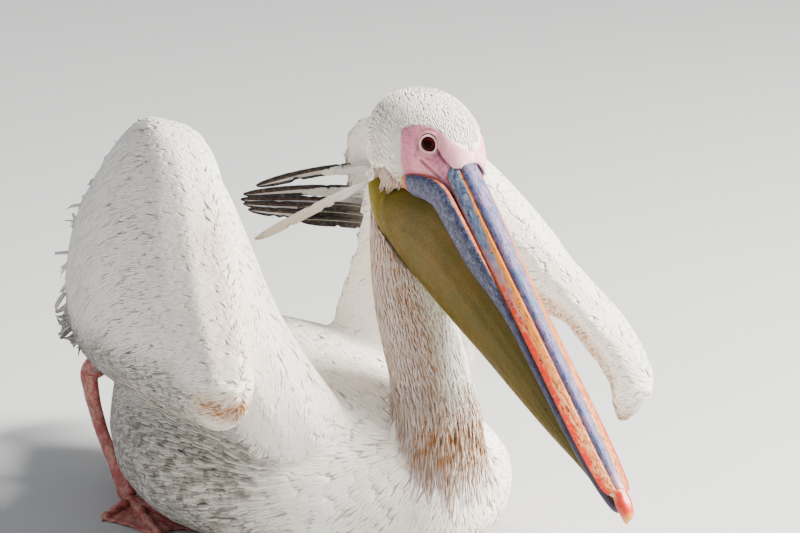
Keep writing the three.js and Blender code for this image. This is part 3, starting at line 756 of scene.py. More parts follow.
def plumage_marks(places, regions):
    """Stain, wet grey and tone of places on the skin, each from 0 to 1. The wet grey and the tone also carry
    painted shade: on the near wing, the neck and the low flank.
    """
    ahead, right, up = bird(places)
    stain = np.zeros(len(places))
    wet_and_shade = np.zeros(len(places))
    tone_and_shade = np.full(len(places), 0.2)
    for side, name in SIDES:
        on = regions == f"wing_{name}"
        own = to_wing(side, places[on])
        share, _ = chord_share(FOREARM[side], own)
        low = fade(own[:, 2], 150, 172)
        if side == RIGHT:
            edge = 0.4 * fade(share, 0.02, 0.07) * ease(own[:, 2], 170, 220)
            edge = edge * fade(own[:, 2], 300, 350)
            knob = 0.95 * bell(own[:, 2], 176, 15) * fade(share, 0.06, 0.2)
            # the low part of the near wing behind its leading edge: wet grey and painted shade
            wet_and_shade[on] = fade(own[:, 2], 182, 226) * ease(share, 0.06, 0.22)
        else:
            edge = 0.8 * ease(share, 0.08, 0.55) * fade(own[:, 2], 250, 292)
            knob = 0.85 * bell(own[:, 2], 146, 13)
        stain[on] = np.maximum.reduce([edge, knob, 0.5 * low])
        # on the near wing a grey that deepens towards the trailing edge: painted shade
        tone_and_shade[on] = 0.15 + 0.6 * ease(share, 0.3, 0.95) * (side == RIGHT)
    neck = regions == "neck"
    i = neck_share(places[neck])
    front = ease(ahead[neck] - NECK_LINE[i, 0], 2, 18)
    low = bell(up[neck], 132, 30) * ease(ahead[neck] - NECK_LINE[i, 0], -10, 14)
    line = 0.45 * bell(right[neck] - NECK_LINE[i, 1], 12, 9) * front
    # the neck's right side: painted shade, laid on as a grey tone and a brown-grey stain over some real
    # brown-grey
    shaded = ease(right[neck] - NECK_LINE[i, 1], 6, 24)
    stain[neck] = np.maximum(0.05 + line + 0.5 * shaded, low)
    tone_and_shade[neck] = 0.1 + 0.9 * shaded
    head = regions == "head"
    stain[head] = 0.06 + 0.42 * bell(up[head], 338, 9) * ease(ahead[head], 92, 106)
    # greyer towards the back of the head
    tone_and_shade[head] = 0.1 + 0.6 * fade(ahead[head], 60, 90)
    trunk = regions == "trunk"
    # the low rear flank: wet, dirty grey-brown and painted shade
    wet_and_shade[trunk] = fade(up[trunk], 100, 152) * fade(ahead[trunk], 90, 165)
    stain[trunk] = 0.25 * bell(ahead[trunk], 205, 26) * bell(right[trunk], 0, 60)
    return np.clip(np.stack([stain, wet_and_shade, tone_and_shade], -1), 0, 1)


def turn_about(aside, upward):
    return np.arctan2(aside, upward) / (2 * math.pi) + 0.5


def unwrap(places, normals, region):
    """Where places lie on an unwrap of the skin of their region, from 0 to 1 each way."""
    ahead, right, up = bird(places)
    if region == "head":
        return np.stack([turn_about(right - HEAD_RIGHT, up - 366), (ahead - 40) / 170], -1)
    if region == "neck":
        i = neck_share(places)
        turn = turn_about(right - NECK_LINE[i, 1], ahead - NECK_LINE[i, 0])
        return np.stack([turn, i / (NECK_POINTS - 1)], -1)
    if region == "trunk":
        return np.stack([turn_about(right - 10, up - 80), (ahead + 340) / 570], -1)
    side = RIGHT if region.endswith("right") else LEFT
    own = to_wing(side, places)
    rows = FOREARM[side] if region.startswith("wing") else UPPER_ARM
    share, _ = chord_share(rows, own)
    outward = side * -normals[:, 0] > 0
    return np.stack([0.5 * share + 0.5 * outward, (own[:, 2] - 90) / 310], -1)


# ---- tufts

PATCH = 0.0015               # half the width of a tuft's patch on the unwrap
# Rings along a tuft before its tip: share of its length, share of its width, and height over
# the skin as a share of the coat's depth.
RINGS = [(0.0, 0.55, 0.15), (0.34, 1.0, 0.8), (0.7, 0.78, 0.9)]
RIDGE = dict(wing_right=0.2)             # how far a tuft's middle stands over its edges, by width
PLAIN_RIDGE = 0.09
TONE_SPREAD = dict(wing_right=0.34)      # how much tufts differ in tone
PLAIN_SPREAD = 0.1
# A step that ends this many times its length or more off the skin hangs in the air.
HOLD = dict(arm_right=3, arm_left=3, wing_left=1.5, wing_right=0.7, head=0.8)
PLAIN_HOLD = 0.45
HANG = 12                    # how far off the skin a tuft may hang past an edge, in millimetres
TRIES = 3.2                  # places tried for each that the closest gap has room for
HEADROOM = (0.8, 7)          # no skin lies over a root between these heights
TUFT_FLOOR_GAP = 0.3
LOCK_SPREAD = 0.3            # from a feather's middle to its outer locks' roots, by its width
LOCK_OVERLAP = 2.1           # how many times their share of a feather's width locks are
TUCK = -0.5                  # how feathers' tips are lifted: they lie under the next ones


def everywhere(places, normals):
    return np.ones(len(places), bool)


def scatter(skin, region, gap, keep=everywhere):
    """Evenly strewn places on a region of the skin, about gap(places) millimetres apart."""
    triangles = skin.triangles[(skin.regions[skin.triangles] == region).all(1)]
    a, b, c = (skin.places[triangles[:, k]] for k in range(3))
    area = np.linalg.norm(np.cross(b - a, c - a), axis=1) / 2
    count = int(TRIES * area.sum() / (gap(a).min() * MM) ** 2)
    picked = random.choice(len(triangles), count, p=area / area.sum())
    u, v = random.random((2, count, 1))
    flip = u + v > 1
    u, v = np.where(flip, 1 - u, u), np.where(flip, 1 - v, v)
    places = a[picked] + u * (b - a)[picked] + v * (c - a)[picked]
    at_corners = skin.normals[triangles[picked]]
    normals = unit(at_corners[:, 0] * (1 - u - v) + at_corners[:, 1] * u + at_corners[:, 2] * v)
    wanted = keep(places, normals)
    places, normals = places[wanted], normals[wanted]
    chosen = thinned(places, gap(places) * MM)
    places, normals = places[chosen], normals[chosen]
    low, high = HEADROOM
    clear = [skin.tree.ray_cast(Vector(p + low * MM * n), Vector(n), high * MM)[0] is None
             for p, n in zip(places, normals)]
    return places[clear], normals[clear]


def thinned(places, gaps):
    """Indices of places no closer together than their gaps."""
    taken = {}
    chosen = []
    cells = np.floor(places / gaps.max()).astype(int).tolist()
    around = [(i, j, k) for i in (-1, 0, 1) for j in (-1, 0, 1) for k in (-1, 0, 1)]
    for index, ((x, y, z), gap, (cx, cy, cz)) in enumerate(zip(places.tolist(), gaps.tolist(), cells)):
        limit = gap * gap
        near = (other for i, j, k in around for other in taken.get((cx + i, cy + j, cz + k), ()))
        if all((px - x) ** 2 + (py - y) ** 2 + (pz - z) ** 2 >= limit for px, py, pz in near):
            taken.setdefault((cx, cy, cz), []).append((x, y, z))
            chosen.append(index)
    return np.array(chosen)


def tufts(skin, region, roots, normals, length, width, depth, swerve, lift=-0.1):
    """Flat three-sided tufts that follow the lie of the coat over the skin from their roots.

    length, width and depth are in millimetres, swerve turns each from the lie, in radians, and
    lift raises its tip."""
    ridge = RIDGE.get(region, PLAIN_RIDGE)
    rings = []
    place, normal, last = roots, normals, 0.0
    for station, wide, high in RINGS + [(1.0, 0.0, 1.0 + lift)]:
        run = tangential(LIES[region](place), normal)
        side = np.cross(normal, run)
        run = run * np.cos(swerve)[:, None] + side * np.sin(swerve)[:, None]
        if station > 0:
            guess = place + run * ((station - last) * length * MM)[:, None]
            landed, new_normal = skin.drop(guess)
            reach = np.linalg.norm(landed - guess, axis=1)
            follows = (reach < HOLD.get(region, PLAIN_HOLD) * (station - last) * length * MM)[:, None]
            hung = landed + (guess - landed) * np.minimum(1, HANG * MM / np.maximum(reach, 1e-9))[:, None]
            place = np.where(follows, landed, hung)
            normal = np.where(follows, new_normal, normal)
            side = unit(np.cross(normal, run))
        last = station
        middle = place + normal * (high * depth * MM)[:, None]
        half = side * (wide * width / 2 * MM)[:, None]
        top = middle + normal * (ridge * width * MM)[:, None]
        rings.append(np.stack([middle + half, top, middle - half], 1) if wide else middle[:, None])
    corners = np.concatenate(rings, 1)
    corners[..., 2] = np.maximum(corners[..., 2], TUFT_FLOOR_GAP * MM)
    return corners


def tuft_faces():
    """The triangles of one tuft, and which are smooth: those over it, so it shades as one strand."""
    faces, smooth = [(0, 2, 1)], [False]
    for ring in range(len(RINGS) - 1):
        for k in range(3):
            a, b = 3 * ring + k, 3 * ring + (k + 1) % 3
            faces += [(a, b, b + 3), (a, b + 3, a + 3)]
            smooth += [k < 2] * 2
    tip = 3 * len(RINGS)
    faces += [(tip - 3 + k, tip - 3 + (k + 1) % 3, tip) for k in range(3)]
    return np.array(faces), smooth + [True, True, False]


def tuft_patches(uv):
    """A small patch of the unwrap for each tuft, laid out as the tuft is."""
    across = np.array([1, 0, -1] * len(RINGS) + [0])
    onward = np.array([station for station, _, _ in RINGS for _ in range(3)] + [1.0]) * 2 - 1
    patch = np.stack([across, onward], -1) * PATCH
    return ((0.02 + 0.96 * np.clip(uv, 0, 1))[:, None] + patch[None]).reshape(-1, 2)


def coat(name, skin, *grown):
    """One piece of coat from groups of (region, roots, normals, length, width, depth, swerve, lift)."""
    one, smooth = tuft_faces()
    places, uv, marks = [], [], []
    for region, roots, normals, *sizes in grown:
        corners = tufts(skin, region, roots, normals, *sizes)
        places.append(corners.reshape(-1, 3))
        uv.append(tuft_patches(unwrap(roots, normals, region)))
        own = plumage_marks(roots, np.full(len(roots), region))
        count = len(roots)
        own[:, 2] = np.clip(own[:, 2] + random.normal(0, TONE_SPREAD.get(region, PLAIN_SPREAD), count), 0, 1)
        own[:, 0] = np.clip(own[:, 0] * random.uniform(0.6, 1.3, count), 0, 1)
        own[:, 1] = np.clip(own[:, 1] * random.uniform(0.5, 1.4, count), 0, 1)
        marks.append(np.repeat(own, corners.shape[1], 0))
    places = np.concatenate(places)
    each = 3 * len(RINGS) + 1
    starts = np.arange(0, len(places), each)[:, None, None]
    build(name, (places, (one[None] + starts).reshape(-1, 3), None), COAT_LOOK,
          uv=np.concatenate(uv), marks=np.concatenate(marks), smooth=smooth)


def locks(roots, normals, lie, length, width, depth, count, spread):
    """Each feather's vane as a fan of locks side by side: arrays for tufts."""
    side = np.cross(normals, tangential(lie, normals))
    share = np.linspace(-1, 1, count)
    n = len(roots)
    aside = share[None, :, None] * width[:, None, None] * LOCK_SPREAD * MM
    root = (roots[:, None] + side[:, None] * aside).reshape(-1, 3)
    wander = random.normal(0, 0.05, (n, 1)) + random.normal(0, 0.03, (n, count))
    swerve = (share[None] * spread + wander).ravel()
    long = (length[:, None] * (1 - 0.22 * share[None] ** 2) * random.uniform(0.9, 1.08, (n, count))).ravel()
    wide = np.repeat(LOCK_OVERLAP * width / count, count)
    return root, np.repeat(normals, count, 0), long, wide, np.full(n * count, depth), swerve


def feathered(skin, region, gap, size, depth, count, spread=0.12, keep=everywhere):
    """Feathers over a region as locks with tucked tips; size(places) gives their length and width."""
    roots, normals = scatter(skin, region, gap, keep)
    length, width = size(roots)
    length = length * random.uniform(0.8, 1.2, len(roots))
    return (region, *locks(roots, normals, LIES[region](roots), length, width, depth, count, spread), TUCK)


# ---- the coat's pieces

def apart(gap):
    return lambda places: np.full(len(places), gap)


def coat_head(skin):
    def gap(places):
        return 1.45 + 0.5 * ease(-face_bareness(places), 6, 30)

    def feathery(places, normals):
        ahead, right, _ = bird(places)
        on_point = (ahead > 187) & (np.abs(right - HEAD_RIGHT) < 4)
        return (face_bareness(places) < 1.2) & ~on_point

    roots, normals = scatter(skin, "head", gap, feathery)
    ahead, _, up = bird(roots)
    far = ease(-face_bareness(roots), 1, 22)
    nape = fade(ahead, 58, 92) * ease(up, 345, 385)
    length = 5.6 + 3.6 * far + 4.0 * nape
    length = length * random.uniform(0.8, 1.2, len(roots)) * (1 - 0.45 * fade(up, 328, 348))
    width, depth = 1.5 + 0.6 * far, 0.9 + 0.7 * far + 0.9 * nape
    swerve = random.normal(0, 0.13, len(roots))
    coat("coat_head", skin, ("head", roots, normals, length, width, depth, swerve))


def coat_neck(skin):
    """Velvet all over, and long strands over the wet foot of the neck."""
    roots, normals = scatter(skin, "neck", apart(2.0))
    n = len(roots)
    low = fade(bird(roots)[2], 135, 190)
    length = (10 + 6 * low) * random.uniform(0.8, 1.25, n)
    width, depth = 1.9 + 0.3 * low, np.full(n, 1.0)
    velvet = ("neck", roots, normals, length, width, depth, random.normal(0, 0.1, n), -0.4)
    roots, normals = scatter(skin, "neck", apart(3.6), lambda p, n: p[:, 2] < 172 * MM)
    n = len(roots)
    long = (15 + 17 * fade(roots[:, 2] / MM, 105, 165)) * random.uniform(0.7, 1.2, n)
    depth = 2.1 + 0.8 * random.random(n)
    coat("coat_neck", skin, velvet,
         ("neck", roots, normals, long, np.full(n, 1.7), depth, random.normal(0, 0.1, n), 0.25))


def coat_trunk(skin):
    def size(places):
        rear = fade(bird(places)[0], -260, 40)
        return 30 + 14 * rear, 13 + 4 * rear

    for name, low, high in (("coat_breast", 20, 400), ("coat_back", -400, 20)):
        def keep(places, normals):
            ahead, _, up = bird(places)
            flat = (normals[:, 2] < -0.75) & (up < 14)
            return (ahead >= low) & (ahead < high) & ~flat

        coat(name, skin, feathered(skin, "trunk", apart(8.4), size, 1.4, 6, keep=keep))


def coat_wing(skin, side, name):
    """The wing's two faces: long silky feathers on the near wing, short ones on the far one."""
    silky = side == RIGHT
    depth, locks_each, spread = (1.6, 8, 0.09) if silky else (0.8, 5, 0.05)

    def nose_share(places):
        own = to_wing(side, places)
        strut = fade(own[:, 2], 240, 262) * (not silky)
        return chord_share(FOREARM[side], own)[0] * (1 - strut)

    def gap(places):
        return 3.6 + (7.0 if silky else 1.6) * ease(nose_share(places), 0.04, 0.5)

    def size(places):
        share = ease(nose_share(places), 0.03, 0.7)
        if silky:
            return (16 + 44 * share) * (1 - 0.4 * ease(nose_share(places), 0.7, 0.97)), 5.6 + 9 * share
        return 14 + 16 * share, 6 + 3.5 * share

    for face, sign in (("outer", 1), ("inner", -1)):
        coat(f"coat_wing_{name}_{face}", skin,
             feathered(skin, f"wing_{name}", gap, size, depth, locks_each, spread,
                       lambda places, normals: -side * normals[:, 0] * sign > 0))


def coat_arm(skin, side, name):
    def size(places):
        share = chord_share(UPPER_ARM, to_wing(side, places))[0]
        if side == LEFT:
            return 20 + 8 * share, 10 + 2 * share
        return 24 + 20 * share, 10 + 3 * share

    coat(f"coat_arm_{name}", skin, feathered(skin, f"arm_{name}", apart(5.6), size, 0.9, 6, 0.06))


# ---- bill

BILL_TIP = at(425, HEAD_RIGHT + 3, 97)
UPPER_BILL_LENGTH = 362
NAIL_LENGTH = 26
BILL_ROOT = BILL_TIP - BILL_RUN * UPPER_BILL_LENGTH * MM
LOWER_MIDDLE = HEAD_RIGHT + 1.5
# Share of the length, half width, height over the cutting edge.
UPPER_BILL = [(-0.035, 15.5, 16.5), (0.03, 17.5, 17.5), (0.14, 18, 16.5), (0.3, 18, 14), (0.48, 18, 11.5),
              (0.66, 18.5, 10), (0.8, 18, 8.5), (0.9, 15.5, 8), (1 - NAIL_LENGTH / UPPER_BILL_LENGTH, 12, 8)]
# One side of the lower bill: ahead, distance aside, top edge, height, half thickness.
RAMUS = [(123, 28, 350, 12, 3), (138, 28.5, 354, 19, 4.5), (160, 26, 355, 22, 5.5),
         (181, 24, 349, 24, 5.5), (202, 23, 330, 24.5, 5.5), (232, 21, 298, 22.5, 5),
         (258, 18.5, 270, 15, 4), (285, 17, 240.5, 9.5, 3.6), (345, 16, 179, 9, 3.5),
         (388, 12.5, 135, 8.5, 3.5), (412, 6, 110, 8, 4), (417, 0, 105, 7, 4)]
LEFT_RAMUS_IN = 8            # how much nearer the middle the left side lies, as the bill is skewed
# The ridge along the middle of the upper bill: share of the bill's length, share of its half width.
CULMEN = [(0, 0.52), (0.15, 0.5), (0.3, 0.43), (0.5, 0.33), (0.7, 0.29), (0.85, 0.27), (1, 0.26)]
CULMEN_HALF = 0.36           # where the ridge's edge lies on the form map, all along
PLATE_HIGH, RIDGE_HIGH = 0.74, 0.26      # shares of the height
GROOVE, HOLLOW = 1.1, 2.2                # depths beside the ridge and under the bill
NAVY = (26, 30, 52)


def upper_bill():
    """A flat-topped ridge between two plates that slope down to the cutting edges."""
    rings, shares = [], []
    angle = turns(104)
    for t, (share, half, height) in stations(UPPER_BILL, 120):
        culmen = np.interp(share, *np.array(CULMEN).T)
        centre = BILL_ROOT + BILL_RUN * share * UPPER_BILL_LENGTH * MM
        x = np.cos(angle)
        x = np.sign(x) * np.abs(x) ** 0.8
        over = np.sin(angle) > 0
        out = np.abs(x)
        beyond = np.clip((out - culmen) / (1 - culmen), 0, 1)
        fullness = 1.5 + 3.5 * fade(t, 0.03, 0.12)
        plate = PLATE_HIGH * (1 - beyond ** fullness)
        ridge = RIDGE_HIGH * np.clip(1 - (out / culmen) ** 4, 0, 1)
        groove = GROOVE * bell(out, culmen + 0.03, 0.06) * ease(t, 0.0, 0.05)
        bottom = bell(out, 0.5, 0.3) - HOLLOW * np.clip(1 - out ** 6, 0, 1)
        rise = np.where(over, height * (plate + ridge) - groove, bottom)
        rings.append(centre + (x * half * MM)[:, None] * ACROSS + (rise * MM)[:, None] * BILL_TOP)
        formed = np.where(out < culmen, out / culmen * CULMEN_HALF, CULMEN_HALF + (1 - CULMEN_HALF) * beyond)
        shares.append(np.stack([np.sign(x) * formed * 0.5 + 0.5, np.where(over, t, t - 2)], -1))
    build("bill_upper_horn", lofted(rings, shares), upper_bill_look(), ["bill_upper"])


def upper_bill_look():
    """Blue plates and ridge at the root, an orange stripe on either side of the ridge, and cream
    and orange plates with red edges towards the tip. Streaks run along the bill."""
    look = Look("bill_upper", 0.5, Specular_IOR_Level=0.3)
    across, onward = look.form()
    aside = abs(across * 2.0 - 1.0)
    grain = look.grain(across * 0.052, onward * 0.085)
    streaks = look.noise(2.6, detail=5, roughness=0.75, places=grain)
    fine = look.noise(2.0, detail=4, roughness=0.75, places=grain)
    wobble = (look.noise(14) - 0.5) * 0.25
    blue = look.layers(
        (92, 108, 138),
        (streaks.step(0.5, 0.66), (158, 170, 180)),
        (streaks.step(0.48, 0.36), (40, 48, 72)))
    warm = look.layers(
        (218, 158, 102),
        (streaks.step(0.42, 0.58), (186, 88, 34)),
        (fine.step(0.52, 0.6), (64, 28, 14)))
    gold = look.layers((198, 114, 0), (streaks.step(0.5, 0.66), (112, 60, 12)))
    stripe = (onward.step(0.03, 0.5, 0.48, 0.72) + wobble - aside).step(0.0, 0.05) * onward.step(0.03, 0.1)
    red = (aside + wobble * 0.8).step(0.7, 0.9) * onward.step(0.3, 0.47)
    plates = look.layers(
        blue,
        ((onward + wobble).step(0.3, 0.5), warm),
        (stripe * onward.step(0.46, 0.66, 1.0, 0.2), gold),
        (red * look.noise(7).step(0.36, 0.56, 0.35, 1.0), (196, 30, 8)),
        (aside.step(0.94, 0.975) * 0.9, (150, 56, 36)))
    # the ridge is bluish and pinkish by turns, with navy specks
    ridge = look.layers(
        (84, 93, 130),
        (look.noise(26).step(0.42, 0.6), (128, 104, 136)),
        (streaks.step(0.46, 0.6), (52, 64, 108)),
        (fine.step(0.4, 0.3, 0.0, 0.5), (166, 158, 186)),
        (onward.step(0.8, 0.98, 0.0, 0.75), (236, 190, 186)))
    specks = look.spots(4.6).step(0.24, 0.1) * look.noise(16).step(0.38, 0.5)
    groove = (aside + wobble * 0.06).band(CULMEN_HALF + 0.01, 0.06) * look.noise(9).step(0.34, 0.5, 0.4, 1.0)
    colour = look.layers(
        plates,
        (aside.step(CULMEN_HALF + 0.02, CULMEN_HALF - 0.02), ridge),
        (specks * 0.92, NAVY),
        (groove * onward.step(0.5, 0.9, 1.0, 0.8), (64, 24, 26)),
        (onward.step(-0.9, -1.0), (120, 50, 34)))
    return look.done(colour, streaks.step(0.3, 0.7, 0.4, 0.62),
                     (streaks, 0.3, 0.6), (look.noise(0.8), 0.1, 0.5))


def nail():
    start = UPPER_BILL_LENGTH - NAIL_LENGTH + 0.35
    rows = [(0, 10, 7.5, 2), (7, 8.6, 7.4, 3), (15, 7, 6.4, 6), (22, 5, 4, 8.5), (NAIL_LENGTH, 2.2, 0.5, 9.5)]
    rings = []
    for t, (step, half, height, drop) in stations(rows, 26):
        half = half * (1 - 0.25 * ease(t, 0.0, 0.12) * fade(t, 0.12, 0.4))
        centre = BILL_ROOT + BILL_RUN * (start + step) * MM
        rings.append(egg(centre, ACROSS, BILL_TOP, half, height, drop, 36, 0.9))
    look = Look("bill_nail", 0.3, Specular_IOR_Level=0.55, Coat_Weight=0.2)
    across, onward = look.form()
    aside = abs((across * 2.0).math("FRACT") - 0.5)
    colour = look.layers(
        (196, 30, 8),
        (look.noise(6).step(0.4, 0.6), (206, 66, 26)),
        (onward.step(0.16, 0.0, 0.0, 0.5), (220, 120, 104)),
        (aside.step(0.3, 0.4) * onward.step(0.4, 0.15), (222, 160, 112)),
        (onward.step(0.68, 0.9), (224, 140, 10)),
        (look.spots(9).step(0.12, 0.06, 0.0, 0.9), (84, 36, 26)))
    material = look.done(colour, look.worn(4, 0.24, 0.4), (look.noise(2, detail=4), 0.2, 0.5))
    build("bill_nail_horn", lofted(rings), material, ["bill_nail"])


def lower_bill():
    parts = []
    for side, _ in SIDES:
        rings = []
        for t, (ahead, aside, top, height, half) in stations(RAMUS, 110):
            aside = aside - LEFT_RAMUS_IN * (side == LEFT) * ease(t, 0.04, 0.16) * fade(t, 0.5, 0.7)
            upward = np.cross(lead(RAMUS, t, 0.02), ACROSS)
            upward = upward * np.sign(upward[2])
            swell = 1 + 0.05 * math.sin(9 * t)
            centre = at(ahead, LOWER_MIDDLE + side * aside, top) - upward * (2.6 + height / 2) * MM
            rings.append(egg(centre, side * ACROSS, upward, half * swell, height / 2, height / 2, 28, 0.85))
        places, quads, shares = lofted(rings)
        shares = np.stack([0.5 + 0.5 * np.sin(2 * math.pi * shares[:, 0]), shares[:, 1]], -1)
        parts.append((places, quads, shares))
    build("bill_lower_horn", joined(parts), lower_bill_look(), ["bill_lower"])


def lower_bill_look():
    """Mottled navy, with an orange cutting edge and bulb at the gape."""
    look = Look("bill_lower", 0.5, Specular_IOR_Level=0.3)
    height, onward = look.form()
    grain = look.grain(height * 0.02, onward * 0.13)
    streaks = look.noise(2.6, detail=6, roughness=0.8, places=grain)
    mottle = look.noise(3, detail=6, roughness=0.8)
    warm = look.layers((208, 122, 56), (look.noise(5).step(0.4, 0.6), (170, 74, 26)))
    wobble = (look.noise(12) - 0.5) * 0.03
    top = (height + streaks * 0.04).step(0.99, 1.01) * look.noise(4).step(0.3, 0.52, 0.45, 1.0)
    colour = look.layers(
        (52, 59, 90),
        (streaks.step(0.46, 0.64), (112, 118, 150)),
        (mottle.step(0.5, 0.4), (16, 20, 42)),
        (look.spots(3.2).step(0.34, 0.16, 0.0, 0.8), NAVY),
        (onward.step(0.5, 0.9, 0.0, 0.85), (60, 49, 62)),
        (top * onward.step(0.8, 0.95, 0.95, 0.4), warm),
        ((onward + wobble).step(0.06, 0.035), warm))
    return look.done(colour, mottle.step(0.3, 0.7, 0.34, 0.55), (streaks, 0.35, 0.6))


# ---- pouch

# Upper edge ahead and up, lower edge ahead and up, half width at the upper edge and fullest.
POUCH = [(86, 343, 74, 330, 33, 36), (101, 334, 76, 304, 34, 37.5), (122, 334, 92, 278, 33, 37),
         (158, 336, 126, 254, 28, 34.5), (186, 329, 153, 237, 25, 33), (214, 303, 188, 218, 22, 30),
         (248, 268, 230, 196, 19, 26), (288, 231, 275, 171, 17, 22), (332, 184, 324, 146, 15.5, 18),
         (372, 143, 367, 126, 12.5, 13.5), (404, 111, 400, 103, 7, 7)]


def pouch():
    """A hanging bag with fine pleats from the throat towards the tip, and the throat's two folds."""
    rings = []
    angle = turns(96)
    depth = (1 - np.cos(angle)) / 2
    sign = np.sign(np.sin(angle))
    for t, (a1, u1, a2, u2, top, full) in stations(POUCH, 130, 0.02):
        upper = at(a1, LOWER_MIDDLE, u1)
        lower = at(a2, LOWER_MIDDLE, u2)
        width = np.where(depth < 0.5, top + (full - top) * depth * 2, full)
        aside = width * sign * np.abs(np.sin(angle)) ** 0.7
        pleats = 0.22 * np.sin(depth * 46 + 5 * t) * np.sin(math.pi * depth) * ease(t, 0.1, 0.4)
        fold = 2.2 * bell(t, 0.06 + 0.2 * depth, 0.018) - 1.4 * bell(t, 0.1 + 0.2 * depth, 0.02)
        inward = (pleats + fold * np.sin(math.pi * depth)) * sign
        aside = (aside - inward - 0.4 * np.sign(aside)) * MM
        rings.append(upper + depth[:, None] * (lower - upper) + aside[:, None] * ACROSS)
    places, quads, shares = lofted(rings)
    shares = np.stack([0.5 - 0.5 * np.cos(2 * math.pi * shares[:, 0]), shares[:, 1]], -1)
    look = Look("pouch_skin", 0.5, Specular_IOR_Level=0.25, Subsurface_Weight=0.06, Subsurface_Scale=0.004)
    down, onward = look.form()
    grain = look.noise(1.3, detail=2, roughness=0.8)
    folds = (onward - down * 0.2).band(0.075, 0.034)
    colour = look.layers(
        (75, 64, 0),
        (look.noise(26).step(0.38, 0.62), (87, 66, 0)),
        (onward.step(0.5, 0.95), (72, 64, 10)),
        (onward.step(0.24, 0.04) * 0.8, (124, 112, 26)),
        (down.step(0.88, 0.995) * onward.step(0.1, 0.3), (160, 148, 84)),
        # darker along the throat's fold: painted shade in the crease
        (folds * 0.6, (66, 56, 14)),
        (grain.step(0.5, 0.68, 0.0, 0.4), (128, 108, 16)),
        (grain.step(0.5, 0.34, 0.0, 0.45), (62, 54, 10)),
        (look.spots(30).step(0.05, 0.035, 0.0, 0.85), (52, 36, 16)))
    material = look.done(colour, look.worn(5, 0.42, 0.6), (grain, 0.3, 0.6),
                         (look.noise(6, stretch=(1, 0.25, 0.25)), 0.8, 0.5))
    build("pouch_skin", (places, quads, shares), material, ["pouch"])


# ---- eyes

def gaze(side):
    return heading(math.cos(GAZE), side * math.sin(GAZE), 0)


def eye(side, name):
    """A ball with a clear bulge over the iris; its form is the share out from the gaze."""
    axis = gaze(side)
    across = unit(np.cross(UP, axis))
    upward = np.cross(axis, across)
    turn = turns(48)
    circle = np.cos(turn)[:, None] * across + np.sin(turn)[:, None] * upward
    rings, shares = [], []
    for t in np.linspace(0, 1, 40):
        angle = math.pi * t
        radius = EYE["radius"] * (1 + 0.045 * bell(t, 0, 0.2))
        rings.append(eye_centre(side) + (circle * math.sin(angle) + math.cos(angle) * axis) * radius * MM)
        shares.append(np.stack([turn / (2 * math.pi), np.full(len(turn), t)], -1))
    look = Look(f"eye_{name}", 0.2, Specular_IOR_Level=0.0, Coat_Weight=0.07, Coat_Roughness=0.03)
    _, out = look.form()
    streaks = look.noise(0.8)
    iris = look.layers((46, 9, 10), (streaks, (64, 15, 13)))
    colour = look.layers(iris, (out.step(0.2, 0.27), (26, 5, 8)), (out.step(0.145, 0.12), (16, 3, 5)))
    material = look.done(colour, None, (streaks, 0.02, 0.2))
    build(f"eyeball_{name}", lofted(rings, shares), material, [f"eye_{name}"])


def eyelids(side, name):
    """A pale ring of skin with a thin rim, pinched to a corner towards the bill."""
    axis = gaze(side)
    onward = tangential(BILL_RUN[None], axis[None])[0]
    upward = unit(np.cross(axis, onward) * side)
    upward = upward * np.sign(upward[2])
    rings = []
    for turn in np.linspace(0, 2 * math.pi, 97)[:-1]:
        pinch = max(math.cos(turn), 0) ** 6
        out = LID_OPENING + 0.9 * pinch
        reach = math.sqrt(EYE["radius"] ** 2 - LID_OPENING ** 2) - 0.4 * pinch
        direction = math.cos(turn) * onward + math.sin(turn) * upward
        centre = eye_centre(side) + (axis * (reach + 0.35) + direction * (out + 0.5)) * MM
        rings.append(egg(centre, direction, axis, 0.95, 0.75, 1.6, 14))
    places, quads, _ = lofted(rings, closed=True)
    look = Look(f"eyelid_{name}", 0.5, Specular_IOR_Level=0.4)
    colour = look.layers((246, 212, 212), (look.noise(1.5), (228, 172, 180)))
    material = look.done(colour, look.worn(2, 0.42, 0.58), (look.noise(0.6), 0.12, 0.6))
    build(f"eyelid_{name}", (places, quads, None), material)


# ---- big feathers

RUMP_LEFT = 40               # how far to the left the longest feathers' tips sway with the rump
BOW = dict(tertials=6, secondaries=8, primaries=9)
# Each group's feathers: how many, how wide, and a curve whose points are the ahead, out and up
# of a root and of its tip.
FLIGHT = {
    ("tertials", RIGHT): (5, 19, [(-20, 120, 346, -142, 54, 278), (-34, 114, 322, -160, 50, 262),
                                  (-40, 108, 298, -152, 54, 240)]),
    ("tertials", LEFT): (1, 11, [(-36, 111, 332, -150, 58, 253), (-38, 110, 325, -152, 58, 247),
                                 (-40, 109, 318, -150, 60, 242)]),
    ("secondaries", RIGHT): (9, 17, [(-86, 142, 342, -176, 86, 294), (-100, 146, 304, -196, 76, 282),
                                     (-100, 150, 270, -202, 72, 272), (-76, 158, 240, -194, 76, 262)]),
    ("secondaries", LEFT): (5, 12, [(-86, 142, 342, -176, 86, 298), (-100, 146, 304, -194, 76, 282),
                                    (-98, 148, 288, -192, 74, 275), (-88, 150, 274, -186, 76, 268)]),
    ("primaries", RIGHT): (7, 19, [(78, 176, 184, -290, 84, 166), (38, 174, 171, -312, 70, 156),
                                   (-2, 168, 159, -318, 58, 146)]),
    ("primaries", LEFT): (3, 11, [(-60, 134, 292, -128, 92, 284), (-64, 132, 284, -138, 90, 277),
                                  (-66, 130, 276, -130, 92, 268)]),
}
VANE_COLUMNS = [-0.62, -0.45, -0.25, -0.08, 0.0, 0.08, 0.4, 0.75, 1.0]
VANE_THICKNESS = 0.7


